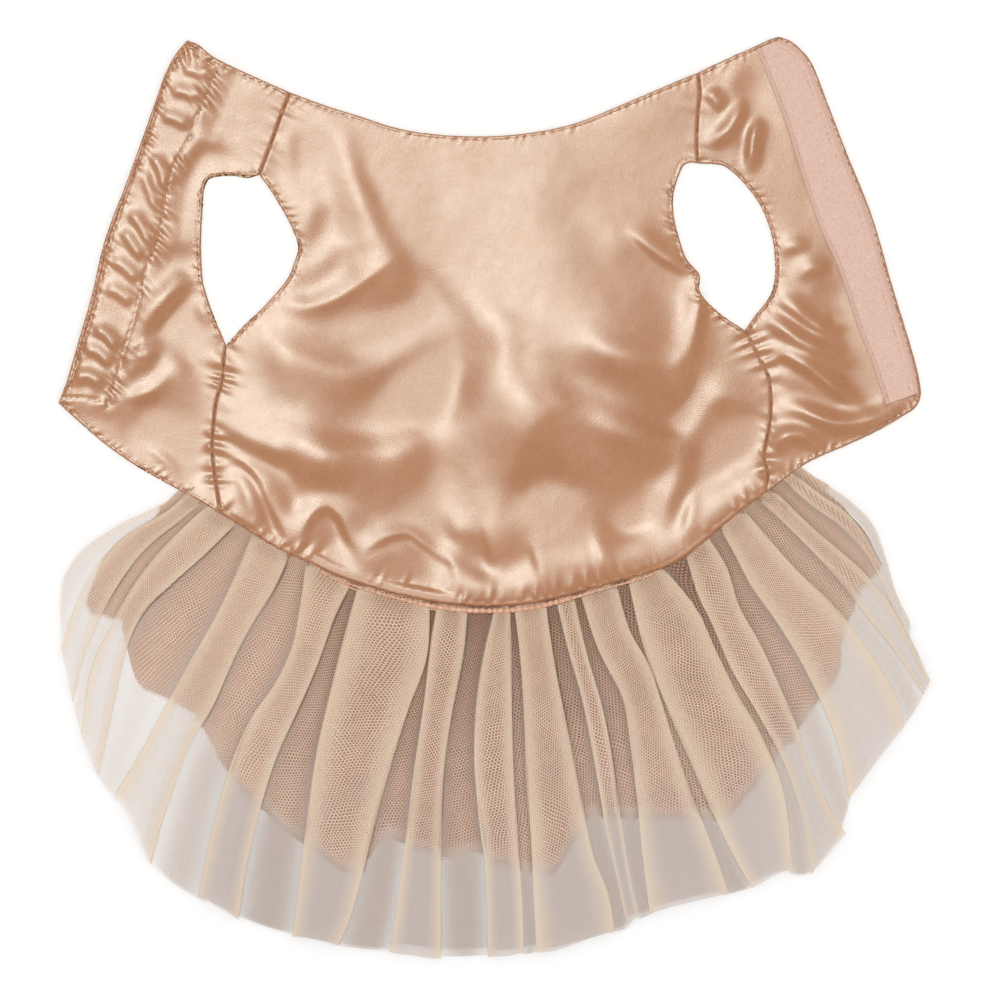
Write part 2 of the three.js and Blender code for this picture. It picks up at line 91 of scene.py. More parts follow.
def near(P, X, Y):
    """Distance from each point to the polyline P, arc length there and side."""
    A, B = P[:-1], P[1:]
    D = B - A
    L2 = (D ** 2).sum(1) + 1e-12
    seg = np.sqrt(L2)
    cum = np.r_[0, np.cumsum(seg)]
    dist = np.empty(len(X)); arc = np.empty(len(X)); side = np.empty(len(X))
    for i in range(0, len(X), 6000):
        x = X[i:i + 6000]; y = Y[i:i + 6000]
        t = np.clip(((x[:, None] - A[:, 0]) * D[:, 0] + (y[:, None] - A[:, 1]) * D[:, 1]) / L2, 0, 1)
        d2 = (x[:, None] - A[:, 0] - t * D[:, 0]) ** 2 + (y[:, None] - A[:, 1] - t * D[:, 1]) ** 2
        k = d2.argmin(1); j = np.arange(len(x))
        dist[i:i + 6000] = np.sqrt(d2[j, k])
        arc[i:i + 6000] = cum[k] + t[j, k] * seg[k]
        side[i:i + 6000] = np.sign(D[k, 0] * (y - A[k, 1]) - D[k, 1] * (x - A[k, 0]))
    return dist, arc, side


def inside(X, Y, poly):
    hit = np.zeros(X.shape, bool)
    n = len(poly); j = n - 1
    for i in range(n):
        xi, yi = poly[i]; xj, yj = poly[j]
        if yi != yj:
            hit ^= ((yi > Y) != (yj > Y)) & (X < (xj - xi) * (Y - yi) / (yj - yi) + xi)
        j = i
    return hit


def wobble(seed):
    """A smooth wandering value between about -1 and 1 along a length."""
    table = np.random.default_rng(seed).uniform(-1, 1, 512)

    def f(s):
        s = np.asarray(s, float) + 37.0
        i = np.floor(s).astype(int); t = s - i; t = t * t * (3 - 2 * t)
        return table[i % 512] * (1 - t) + table[(i + 1) % 512] * t
    return f


# ------------------------------------------------------------ bodice outline
NECK = curve([(290, 92), (325, 105), (360, 116), (394, 127), (427, 133), (473, 136), (517, 134), (550, 129), (581, 121), (620, 105), (660, 88), (698, 72)])
NECK_LEFT = curve([(187, 40), (198, 44), (210, 54), (222, 61), (256, 77), (290, 92)])
NECK_RIGHT = curve([(698, 72), (728, 58), (757, 45), (770, 39), (779, 36.5)])
LEFT_EDGE = curve([(187, 40), (176, 53), (166, 71), (154, 104), (142, 138), (122, 193), (112, 218), (103, 245), (90, 300), (78, 341), (66, 382), (58, 403)])
LEFT_FOOT = curve([(58, 403), (81, 424), (111, 449), (144, 471), (175, 488), (198, 500), (213, 509), (221, 515)])
RIGHT_EDGE = curve([(779, 36.5), (790, 40), (800, 48), (811, 61), (828, 103), (846, 150), (872, 215), (893, 287), (915, 360), (920, 382), (921, 396), (918, 404), (913, 410)])
RIGHT_FOOT = curve([(913, 410), (881, 429), (852, 443), (807, 463), (786, 478), (766, 493)])
LEFT_SHOULDER = curve([(290, 92), (281, 115), (270, 146), (259, 175)])
RIGHT_SHOULDER = curve([(698, 72), (700, 90), (698, 115), (697, 141), (698, 163.5)])
LEFT_SIDE = curve([(226, 345), (224, 358), (222, 382), (216, 402), (213, 427), (212, 451), (215, 478), (221, 515)])
RIGHT_SIDE = curve([(745, 330), (753, 344), (760, 359), (769, 378), (771, 398), (770, 422), (766, 443), (764, 457), (768, 473), (766, 493)])
LEFT_HOLE_IN = curve([(259, 175), (268, 187), (275, 198), (288, 220), (294, 234), (298, 247), (294, 262), (288, 277), (264, 306), (245, 324), (226, 345)])
LEFT_HOLE_OUT = curve([(259, 175), (247, 178), (234, 176), (220, 176.5), (209, 179), (204.5, 188), (203, 204), (201, 245), (203, 281), (208, 300), (214, 316), (226, 345)])
RIGHT_HOLE_IN = curve([(698, 163.5), (690, 162.5), (684, 165), (679, 176), (674, 193), (674, 215), (680, 240), (687, 259), (700, 275), (700, 291), (720, 313), (745, 330)])
RIGHT_HOLE_OUT = curve([(698, 163.5), (712, 164), (724, 166), (741, 180), (761, 207), (772, 237), (775, 265), (772, 291), (754, 317), (745, 330)])
WAIST = curve([(221, 515), (234, 522), (260, 539), (285, 553), (311, 564), (333, 575), (355, 583), (392, 594), (429, 602), (460, 606), (491, 607), (525, 605), (560, 598), (600, 587), (640, 576), (662, 569), (685, 557), (722, 527), (744, 509), (766, 493)])
HOOK_IN = curve([(218, 69), (207, 95), (195, 122), (187, 144), (171, 171), (165, 200), (162, 224), (154, 249), (146, 269), (142, 287), (136, 312), (127, 341), (115, 382), (107, 402)])
HOOK_OUT = curve([(190, 49), (172, 66), (148, 137), (127, 193), (109, 245), (96, 300), (84, 341), (72, 381), (63, 397)])
HOOK_FOOT = curve([(63, 397), (84, 398), (107, 402)])
HOOK_TOP = curve([(190, 49), (204, 58), (218, 69)])
LOOP_IN = curve([(757, 49), (772, 88), (786, 124), (800, 170), (820, 228), (837, 265), (859, 330), (871, 360), (886, 405)])
LOOP_OUT = curve([(780, 39.5), (797, 48), (808, 62), (843, 151), (869, 216), (890, 288), (912, 361), (917, 382), (918.5, 393)])


def joined(*runs):
    out = []
    for r in runs:
        r = np.asarray(r)
        out.append(r[:-1])
    return np.vstack(out)


BACK_RING = joined(NECK, RIGHT_SHOULDER, RIGHT_HOLE_IN, RIGHT_SIDE, WAIST[::-1], LEFT_SIDE[::-1], LEFT_HOLE_IN[::-1], LEFT_SHOULDER[::-1])
LEFT_RING = joined(NECK_LEFT, LEFT_SHOULDER, LEFT_HOLE_OUT, LEFT_SIDE, LEFT_FOOT[::-1], LEFT_EDGE[::-1])
RIGHT_RING = joined(NECK_RIGHT, RIGHT_EDGE, RIGHT_FOOT, RIGHT_SIDE[::-1], RIGHT_HOLE_OUT[::-1], RIGHT_SHOULDER[::-1])

FREE_EDGES = [NECK, NECK_LEFT, NECK_RIGHT, LEFT_EDGE, LEFT_FOOT, RIGHT_EDGE, RIGHT_FOOT, LEFT_HOLE_IN, LEFT_HOLE_OUT, RIGHT_HOLE_IN, RIGHT_HOLE_OUT]
SEAMS = [LEFT_SHOULDER, RIGHT_SHOULDER, LEFT_SIDE, RIGHT_SIDE]

# ------------------------------------------------------------- satin's folds
# Slope patches: name, slope to the right, slope towards the neck (negative
# falls towards the hem), softness, outline.
SLOPES = [
    ("arch_foot", -0.10, -0.50, 9, [(279, 355), (283, 378), (302, 403), (322, 422), (343, 429), (362, 418), (381, 393), (410, 376), (448, 355), (446, 336), (410, 353), (371, 374), (343, 377), (314, 366), (291, 350)]),
    ("side_groove", 0.00, -0.80, 4, [(214, 424), (240, 436), (262, 444), (288, 458), (286, 470), (262, 462), (238, 450), (218, 436)]),
    ("side_hollow", -0.10, -0.20, 6, [(285, 443), (303, 450), (312, 462), (303, 485), (294, 512), (284, 508), (279, 484), (276, 462)]),
    ("west_patch", -0.26, -0.34, 8, [(314, 462), (340, 455), (367, 450), (387, 464), (405, 452), (423, 443), (434, 452), (438, 480), (425, 505), (405, 520), (380, 533), (368, 532), (355, 512), (343, 497), (325, 500), (310, 508), (302, 500), (304, 480)]),
    ("west_deep", -0.10, -0.24, 6, [(312, 470), (346, 468), (350, 480), (330, 494), (312, 492)]),
    ("pinch_left", -0.32, -0.32, 4, [(450, 533), (470, 530), (482, 545), (490, 568), (478, 568), (462, 552)]),
    ("pinch_right", 0.26, -0.36, 4, [(500, 566), (508, 546), (520, 530), (532, 536), (522, 558), (508, 574)]),
    ("east_patch", -0.26, -0.24, 6, [(520, 450), (535, 425), (552, 405), (570, 402), (585, 418), (600, 432), (630, 436), (655, 440), (668, 450), (672, 462), (660, 472), (645, 480), (640, 500), (628, 515), (610, 522), (600, 515), (592, 500), (580, 488), (565, 478), (545, 472), (530, 480), (518, 492), (512, 490), (515, 470)]),
    ("east_vee", -0.28, -0.52, 7, [(600, 350), (640, 362), (668, 366), (690, 350), (692, 385), (686, 402), (678, 418), (668, 426), (655, 422), (640, 405), (622, 385), (606, 370)]),
    ("east_stripe", -0.40, -0.12, 5, [(712, 400), (740, 398), (768, 406), (745, 425), (722, 445), (705, 462), (692, 485), (680, 510), (668, 530), (662, 528), (672, 500), (684, 470), (688, 445), (698, 420)]),
    ("arm_under", -0.16, -0.42, 8, [(408, 262), (424, 275), (430, 300), (405, 308), (370, 314), (330, 324), (300, 323), (284, 314), (300, 312), (320, 310), (350, 300), (385, 285)]),
    ("arm_orange", 0.00, -0.44, 5, [(318, 262), (335, 244), (346, 250), (339, 270), (320, 286), (298, 292), (288, 284), (300, 275)]),
    ("chest_line", -0.34, -0.30, 6, [(330, 208), (322, 232), (306, 252), (284, 262), (280, 254), (298, 244), (310, 228), (316, 206)]),
    ("chest_fall", -0.34, -0.10, 6, [(352, 138), (364, 160), (378, 200), (398, 240), (420, 272), (408, 278), (388, 250), (368, 214), (354, 176), (344, 148)]),
    ("arm_second", 0.00, -0.20, 5, [(285, 326), (300, 336), (323, 346), (350, 338), (375, 326), (392, 310), (402, 318), (380, 334), (352, 349), (325, 354), (300, 346), (284, 336)]),
    ("shoulder_a", -0.42, 0.00, 4, [(291, 132), (300, 136), (301, 170), (294, 176), (288, 158)]),
    ("shoulder_b", -0.36, 0.00, 4, [(268, 152), (279, 150), (281, 172), (272, 180), (264, 168)]),
    ("waist_left", 0.00, -0.60, 5, [(362, 562), (385, 549), (410, 548), (430, 562), (436, 584), (400, 584), (368, 574)]),
    ("waist_right", 0.00, -0.22, 5, [(556, 588), (600, 572), (640, 558), (686, 534), (726, 502), (762, 474), (768, 490), (725, 524), (690, 548), (640, 572), (600, 584), (560, 596)]),
    ("waist_mid", 0.00, -0.22, 4, [(440, 586), (500, 590), (560, 584), (562, 600), (500, 606), (440, 600)]),
    ("lip_hollow", -0.15, -0.70, 4, [(258, 488), (268, 500), (272, 530), (262, 536), (256, 510)]),
    ("lip_hollow_b", -0.05, -0.42, 4, [(318, 512), (332, 510), (340, 534), (330, 548), (300, 560), (292, 548), (312, 534)]),
    ("tuck_shade", -0.20, -0.16, 8, [(704, 286), (716, 294), (722, 320), (716, 350), (702, 372), (696, 366), (700, 330)]),
    ("centre_low", 0.00, -0.08, 14, [(560, 150), (600, 160), (590, 210), (560, 220), (545, 190)]),
    ("neck_low", 0.00, -0.10, 12, [(330, 122), (420, 140), (430, 160), (380, 158), (335, 150)]),
    ("armhole_low", -0.10, -0.22, 8, [(618, 232), (660, 252), (694, 276), (690, 300), (650, 290), (620, 262)]),
    ("b_arch", 0.02, 0.32, 8, [(258, 326), (285, 347), (314, 364), (343, 374), (371, 369), (410, 350), (452, 322), (478, 335), (440, 298), (400, 328), (371, 350), (343, 354), (310, 340), (285, 322)]),
    ("b_second", 0.06, 0.46, 8, [(266, 402), (300, 418), (330, 438), (360, 438), (400, 422), (430, 400), (472, 358), (500, 350), (474, 424), (440, 440), (410, 440), (390, 454), (365, 446), (340, 454), (310, 450), (285, 432)]),
    ("b_chest", 0.24, 0.14, 6, [(330, 140), (342, 150), (354, 182), (366, 216), (376, 240), (352, 246), (322, 262), (305, 272), (330, 236), (336, 205), (322, 180), (320, 155)]),
    ("b_lip", 0.00, 0.40, 4, [(280, 290), (300, 300), (325, 297), (352, 282), (390, 256), (398, 262), (356, 293), (328, 307), (300, 310), (282, 302)]),
    ("b_east", 0.17, 0.36, 7, [(560, 376), (600, 388), (640, 414), (668, 430), (684, 420), (700, 395), (716, 372), (732, 372), (716, 396), (700, 422), (680, 444), (660, 438), (630, 430), (602, 424), (575, 398)]),
    ("b_low", 0.13, 0.38, 7, [(512, 497), (545, 481), (570, 489), (590, 507), (604, 528), (632, 522), (640, 545), (610, 558), (560, 560), (530, 558), (522, 530), (505, 515)]),
    ("b_stripe", 0.34, 0.20, 5, [(674, 466), (678, 480), (666, 505), (654, 530), (638, 545), (622, 540), (642, 515), (650, 490), (660, 476)]),
    ("b_column", 0.30, 0.20, 10, [(436, 345), (470, 330), (498, 345), (516, 380), (530, 385), (512, 430), (504, 470), (500, 505), (500, 530), (484, 530), (466, 520), (446, 520), (434, 500), (444, 462), (438, 420)]),
    ("centre_wedge", -0.20, -0.14, 6, [(500, 322), (522, 330), (526, 350), (520, 372), (510, 366), (502, 345)]),
    ("b_right", 0.28, 0.25, 7, [(768, 420), (764, 468), (740, 486), (715, 503), (700, 518), (684, 533), (674, 536), (684, 513), (697, 488), (711, 465), (731, 445), (750, 430)]),
    ("b_under_arm", 0.00, 0.24, 8, [(520, 300), (560, 320), (600, 318), (640, 350), (620, 372), (600, 350), (560, 346), (520, 338), (490, 330), (490, 306)]),
    ("b_waist", 0.05, 0.50, 7, [(430, 540), (452, 530), (470, 560), (500, 575), (530, 560), (560, 560), (540, 578), (500, 584), (460, 580), (440, 566)]),
    ("b_centre", 0.08, 0.12, 16, [(430, 150), (520, 160), (560, 260), (620, 300), (690, 310), (690, 350), (600, 340), (500, 350), (470, 330), (440, 240)]),
    ("upper_field", -0.05, -0.05, 16, [(300, 120), (400, 140), (560, 145), (690, 110), (670, 170), (680, 230), (600, 300), (480, 280), (430, 240), (400, 180), (340, 130)]),
    # left wing
    ("lw_top_field", -0.12, -0.10, 9, [(222, 76), (286, 102), (274, 130), (262, 160), (236, 142), (206, 124), (212, 98)]),
    ("lw_hole_top", -0.50, -0.45, 5, [(186, 152), (198, 142), (213, 140), (226, 148), (228, 160), (214, 155), (204, 160), (196, 174), (186, 184), (182, 168)]),
    ("lw_b_top", 0.10, 0.22, 5, [(174, 150), (184, 138), (200, 130), (220, 130), (236, 142), (240, 154), (226, 140), (205, 135), (188, 146), (178, 162)]),
    ("lw_mid_dark", -0.34, -0.50, 5, [(168, 242), (182, 238), (192, 250), (190, 262), (176, 260), (166, 256)]),
    ("lw_long", -0.60, -0.55, 5, [(198, 280), (190, 290), (174, 306), (162, 320), (150, 334), (148, 326), (156, 312), (168, 296), (184, 284)]),
    ("lw_long_b", 0.20, 0.24, 5, [(196, 270), (178, 280), (158, 298), (144, 318), (132, 340), (126, 336), (138, 310), (150, 290), (172, 272)]),
    ("lw_stripe", 0.22, 0.16, 4, [(184, 338), (194, 336), (206, 356), (218, 386), (216, 398), (206, 388), (192, 362)]),
    ("lw_low", -0.24, -0.40, 7, [(155, 390), (170, 372), (188, 368), (203, 392), (208, 412), (197, 435), (175, 447), (155, 440), (140, 435), (122, 437), (117, 422), (125, 405), (140, 400)]),
    ("lw_low_deep", -0.05, -0.26, 4, [(130, 398), (150, 396), (160, 402), (154, 412), (134, 410)]),
    ("lw_fold_a", -0.10, -0.70, 5, [(120, 376), (136, 374), (156, 366), (160, 378), (150, 386), (130, 390), (118, 388)]),
    ("lw_fold_b", -0.14, -0.60, 5, [(128, 350), (142, 356), (158, 348), (162, 356), (146, 366), (130, 364)]),
    ("lw_foot_b", 0.05, 0.26, 5, [(126, 440), (146, 442), (164, 452), (182, 470), (192, 486), (180, 482), (160, 464), (140, 452)]),
    # right wing
    ("b_wing", 0.10, 0.16, 8, [(812, 250), (836, 240), (858, 290), (876, 350), (890, 400), (872, 404), (856, 352), (836, 300)]),
    ("rw_top", -0.42, -0.10, 4, [(734, 70), (752, 72), (758, 88), (748, 104), (736, 102), (733, 88)]),
    ("rw_fork_a", -0.36, -0.20, 4, [(735, 136), (745, 132), (749, 144), (742, 158), (735, 150)]),
    ("rw_fork_b", 0.36, -0.14, 4, [(750, 132), (757, 126), (760, 140), (756, 160), (750, 158)]),
    ("rw_fork_c", 0.00, -0.34, 5, [(702, 140), (722, 138), (734, 142), (728, 154), (704, 156)]),
    ("rw_mid", -0.12, -0.12, 5, [(800, 250), (826, 244), (836, 262), (828, 276), (810, 270)]),
    ("rw_spots", -0.10, -0.36, 4, [(814, 272), (830, 270), (842, 282), (840, 298), (824, 300), (812, 290)]),
    ("rw_one", 0.00, -0.40, 4, [(780, 296), (800, 300), (826, 312), (842, 312), (842, 322), (822, 322), (800, 316), (784, 306)]),
    ("rw_two", 0.00, -0.44, 4, [(786, 347), (806, 357), (830, 363), (852, 359), (858, 369), (836, 375), (812, 371), (790, 359)]),
    ("rw_three", 0.04, -0.24, 5, [(802, 362), (826, 368), (846, 356), (862, 366), (876, 388), (850, 388), (820, 380)]),
    ("rw_four", 0.02, -0.48, 3, [(788, 376), (815, 388), (845, 402), (866, 414), (858, 420), (832, 410), (806, 400), (786, 388)]),
    ("rw_five", 0.00, -0.36, 5, [(782, 421), (800, 419), (832, 432), (866, 428), (842, 444), (812, 440), (786, 434)]),
    ("rw_six", 0.00, -0.40, 4, [(778, 446), (792, 440), (808, 444), (806, 456), (788, 462), (776, 458)]),
]

# Ridges on the satin: name, line from left to right, width above it, width
# below it, rise in mm, taper of the ends.
RIDGES = [
    ("lip_a", [(206, 448), (226, 452), (246, 462), (262, 480), (272, 504), (284, 528), (296, 548)], 9, 5, 1.3, .35),
    ("lip_b", [(288, 556), (300, 534), (312, 514), (327, 506), (340, 516), (350, 536), (366, 556)], 9, 5, 1.3, .4),
    ("lip_c", [(352, 562), (372, 544), (392, 534), (410, 533), (426, 544), (446, 558), (470, 566)], 9, 5, 1.2, .4),
    ("arm_lip", [(276, 292), (300, 304), (328, 300), (362, 280), (392, 258), (416, 244)], 10, 7, 1.0, .4),
    ("tuck_edge", [(706, 262), (702, 290), (698, 320), (692, 350), (682, 386), (668, 414)], 3.2, 14, 1.6, .22),
    ("tuck_curve", [(622, 222), (640, 238), (662, 256), (684, 268), (704, 276)], 8, 5, 1.1, .4),
    ("s1", [(180, 68), (196, 72), (212, 78)], 5, 4, .7, .3),
    ("s2", [(168, 92), (182, 92), (203, 100)], 5, 4, .8, .3),
    ("s3", [(158, 116), (172, 118), (190, 128)], 5, 4, .8, .3),
    ("s4", [(149, 152), (158, 166), (167, 192)], 5, 4, 1.0, .3),
    ("s5", [(140, 164), (146, 182), (158, 214)], 4, 4, .7, .3),
    ("s6", [(127, 208), (140, 226), (153, 250)], 5, 4, 1.0, .3),
    ("s7", [(120, 228), (130, 242), (143, 262)], 5, 4, .9, .3),
    ("s8", [(108, 258), (124, 268), (140, 284)], 5, 4, .8, .3),
    ("s9", [(102, 288), (116, 292), (134, 306)], 5, 4, .8, .3),
    ("s10", [(90, 330), (104, 334), (118, 352)], 5, 4, 1.1, .3),
    ("s11", [(80, 352), (96, 352), (112, 368)], 5, 4, .9, .3),
    ("s12", [(70, 384), (86, 376), (106, 388)], 5, 5, 1.2, .3),
    ("lw_ridge", [(132, 345), (145, 328), (160, 308), (180, 288), (197, 275)], 9, 6, 1.6, .2),
    ("lw_r2", [(126, 342), (134, 354), (150, 352), (164, 340)], 6, 5, .9, .3),
    ("lw_r3", [(118, 370), (132, 366), (146, 362), (158, 352)], 6, 5, .8, .3),
    ("lw_r4", [(114, 397), (132, 395), (150, 391), (162, 380), (168, 366)], 6, 5, 1.2, .3),
    ("lw_foot", [(128, 434), (150, 446), (168, 461), (188, 484)], 7, 5, 1.2, .25),
    ("lw_hole", [(196, 292), (200, 306), (212, 330)], 5, 5, .6, .3),
    ("rw_y1", [(701, 146), (716, 140), (730, 128), (740, 110), (744, 90)], 6, 5, .9, .4),
    ("rw_y2", [(704, 88), (716, 100), (724, 112)], 6, 5, .7, .4),
    ("rw_y3", [(762, 112), (754, 136), (751, 160), (750, 178)], 5, 5, 1.2, .3),
    ("rw_r0", [(776, 256), (792, 246), (812, 248)], 6, 5, .45, .45),
    ("rw_r0b", [(792, 282), (812, 268), (834, 268)], 7, 5, .5, .45),
    ("rw_r1", [(770, 294), (790, 306), (812, 322), (832, 330), (850, 318)], 7, 5, 1.3, .3),
    ("rw_r3", [(756, 312), (782, 328), (802, 341), (826, 350), (852, 345)], 8, 6, 1.5, .3),
    ("rw_r4", [(764, 366), (780, 354), (802, 364), (836, 388), (870, 408)], 8, 5, 1.7, .3),
    ("rw_r5", [(768, 414), (795, 409), (836, 423), (878, 418), (912, 396)], 8, 6, 1.6, .3),
    ("rw_r6", [(768, 456), (786, 437), (804, 437), (826, 454)], 7, 5, 1.4, .3),
    ("wa1", [(232, 462), (246, 490), (252, 524)], 5, 6, .5, .5),
    ("wa2", [(436, 536), (452, 560), (462, 592)], 6, 5, .5, .5),
    ("wa3", [(480, 510), (490, 545), (496, 590)], 8, 6, .6, .5),
    ("wa4", [(526, 530), (538, 560), (546, 592)], 6, 5, .5, .5),
    ("wa5", [(590, 526), (600, 550), (608, 582)], 6, 5, .5, .5),
    ("wa6", [(704, 478), (692, 506), (684, 548)], 5, 6, .6, .5),
]

GRID_X0, GRID_Y0, GRID_X1, GRID_Y1 = 40, 20, 940, 628


def soften(a, s):
    fy = np.fft.fftfreq(a.shape[0])[:, None]; fx = np.fft.rfftfreq(a.shape[1])[None, :]
    return np.fft.irfft2(np.fft.rfft2(a) * np.exp(-2 * math.pi ** 2 * s ** 2 * (fx ** 2 + fy ** 2)), s=a.shape)


TOWARDS = (0.646, 0.763)


def solve_level(h, want, fixed, h0, lam, mm, rounds):
    """Heights whose slope across the plan, to the right and towards the hem,
    follows the wanted one, and whose slope the other way stays small."""
    tx, ty = TOWARDS[0] / mm, TOWARDS[1] / mm
    side = 0.12 / mm ** 2
    free = (~fixed).astype(float)

    def along(u):
        a = u[:-1, :-1]; b = u[:-1, 1:]; c = u[1:, :-1]; d = u[1:, 1:]
        return 0.5 * (tx * (b - a + d - c) + ty * (c - a + d - b))

    def back(v):
        out = np.zeros_like(h)
        p = 0.5 * (tx + ty) * v; q = 0.5 * (tx - ty) * v
        out[:-1, :-1] -= p; out[1:, 1:] += p
        out[:-1, 1:] += q; out[1:, :-1] -= q
        return out

    def apply(u):
        out = back(along(u)) + lam * u
        dx = side * (u[:, 1:] - u[:, :-1]); dy = side * (u[1:] - u[:-1])
        out[:, 1:] += dx; out[:, :-1] -= dx
        out[1:] += dy; out[:-1] -= dy
        return out * free

    w = 0.25 * (want[:-1, :-1] + want[:-1, 1:] + want[1:, :-1] + want[1:, 1:])
    r = (back(w) + lam * h0) * free - apply(h)
    p = r.copy()
    rr = float((r * r).sum())
    for _ in range(rounds):
        q = apply(p)
        a = rr / max(float((p * q).sum()), 1e-12)
        h = h + a * p
        r = r - a * q
        new = float((r * r).sum())
        p = r + (new / max(rr, 1e-12)) * p
        rr = new
    return h


def solve_heights(want, fixed, h0, lam, mm):
    levels = [(want, fixed, h0, mm)]
    while min(levels[-1][0].shape) > 90:
        a = levels[-1]
        levels.append((a[0][::2, ::2], a[1][::2, ::2], a[2][::2, ::2], a[3] * 2))
    h = np.zeros_like(levels[-1][0])
    for k in range(len(levels) - 1, -1, -1):
        want_, f_, h0_, m_ = levels[k]
        if h.shape != want_.shape:
            n, m = want_.shape
            yi = np.clip(np.arange(n) / 2, 0, h.shape[0] - 1.001); xi = np.clip(np.arange(m) / 2, 0, h.shape[1] - 1.001)
            y0 = yi.astype(int); x0 = xi.astype(int); fy = (yi - y0)[:, None]; fx = (xi - x0)[None]
            h = (h[y0][:, x0] * (1 - fy) * (1 - fx) + h[y0][:, x0 + 1] * (1 - fy) * fx
                 + h[y0 + 1][:, x0] * fy * (1 - fx) + h[y0 + 1][:, x0 + 1] * fy * fx)
        h[f_] = 0
        h = solve_level(h, want_, f_, h0_, lam, m_, 160 if k else 110)
    return h


def ridge_heights(X, Y, table):
    H = np.zeros_like(X)
    for name, pts, wa, wb, rise, taper in table:
        C = curve(pts, 3.0)
        m = 5.0 * max(wa, wb)
        x0, y0 = C.min(0) - m; x1, y1 = C.max(0) + m
        sel = (X >= x0) & (X <= x1) & (Y >= y0) & (Y <= y1)
        if not sel.any():
            continue
        d, s, side = near(C, X[sel], Y[sel])
        total = np.linalg.norm(np.diff(C, axis=0), axis=1).sum()
        s = s / total
        left, right = name[:3] == "lw_", name[:3] == "rw_"
        wa = (1.7 if left else 1.35 if right else 1.55) * wa; wb = (1.4 if left else 1.2 if right else 1.05) * wb
        rise = (0.95 if left else 1.5 if right else 1.0) * rise
        taper = max(taper, 0.5 if left else 0.4 if right else 0.0)
        w = wa + (wb - wa) * smooth((side * d / (0.3 * min(wa, wb)) + 1) / 2)
        H[sel] += rise * smooth(s / taper) * smooth((1 - s) / taper) * np.exp(-0.8 * (d / w) ** 2)
    return H


def build_field():
    xs = np.arange(GRID_X0, GRID_X1, 2.0); ys = np.arange(GRID_Y0, GRID_Y1, 2.0)
    X, Y = np.meshgrid(xs, ys)
    want = np.zeros_like(X)
    for name, east, north, soft, poly in SLOPES:
        m = soften(inside(X, Y, poly).astype(float), soft / 2.0)
        slope = TOWARDS[0] * east + TOWARDS[1] * north
        want += (0.43 if slope < 0 else 0.30) * slope * m
    flat = (X.ravel(), Y.ravel())
    edge = np.full(X.size, 1e9)
    for line in FREE_EDGES + SEAMS + [HOOK_IN]:
        edge = np.minimum(edge, near(line[::2] if len(line) > 8 else line, *flat)[0])
    edge = edge.reshape(X.shape)
    body = inside(X, Y, BACK_RING) | inside(X, Y, LEFT_RING) | inside(X, Y, RIGHT_RING)
    tape = inside(X, Y, np.vstack([LOOP_IN, LOOP_OUT[::-1]]))
    fixed = ~body | (edge < 3) | tape
    h0 = 3.4 * smooth(edge / 120)
    h = solve_heights(want, fixed, h0, 1 / 80.0 ** 2, 1.0)
    # a finer grid of one plan unit, made smooth
    n, m = h.shape
    yi = np.clip(np.arange(2 * n - 1) / 2, 0, n - 1.001); xi = np.clip(np.arange(2 * m - 1) / 2, 0, m - 1.001)
    y0 = yi.astype(int); x0 = xi.astype(int); fy = (yi - y0)[:, None]; fx = (xi - x0)[None]
    fine = (h[y0][:, x0] * (1 - fy) * (1 - fx) + h[y0][:, x0 + 1] * (1 - fy) * fx
            + h[y0 + 1][:, x0] * fy * (1 - fx) + h[y0 + 1][:, x0 + 1] * fy * fx)
    fine = soften(fine, 1.8)
    X, Y = np.meshgrid(np.arange(2 * m - 1) + GRID_X0, np.arange(2 * n - 1) + GRID_Y0)
    X = X.astype(float); Y = Y.astype(float)
    tape = soften(inside(X, Y, np.vstack([LOOP_IN, LOOP_OUT[::-1]])).astype(float), 2.0)
    fine += 0.85 * ridge_heights(X, Y, RIDGES) * (1 - tape)
    rng = np.random.default_rng(11)
    for sigma, amp in ((4, 0.009), (10, 0.022), (26, 0.09)):
        f = soften(rng.standard_normal(X.shape), sigma)
        fine += amp * f / f.std() * (1 - tape)
    return fine


FIELD = build_field()


def field_at(X, Y):
    x = np.clip(X - GRID_X0, 0, FIELD.shape[1] - 1.001); y = np.clip(Y - GRID_Y0, 0, FIELD.shape[0] - 1.001)
    i = x.astype(int); j = y.astype(int); a = x - i; b = y - j
    return (FIELD[j, i] * (1 - a) * (1 - b) + FIELD[j, i + 1] * a * (1 - b)
            + FIELD[j + 1, i] * (1 - a) * b + FIELD[j + 1, i + 1] * a * b)


def puckers(P, X, Y, period, amp, reach, slant, seed, start=0.0):
    """Short gathers across a sewn line; lengths in mm."""
    d, s, side = near(P, X, Y)
    d = d * 0.5; s = s * 0.5
    a, b, c = wobble(seed), wobble(seed + 1), wobble(seed + 2)
    phase = 2 * math.pi * (s / period + 0.45 * a(s / (1.7 * period))) + slant * side * d
    size = amp * (0.6 + 0.75 * b(s / (1.3 * period)))
    far = reach * (0.75 + 0.45 * c(s / (1.1 * period) + 9 * side))
    return size * np.cos(phase) * np.exp(-(np.maximum(d - start, 0) / far) ** 2), d


STRIP_POLY = np.vstack([HOOK_TOP, HOOK_IN, HOOK_FOOT[::-1], HOOK_OUT[::-1]])


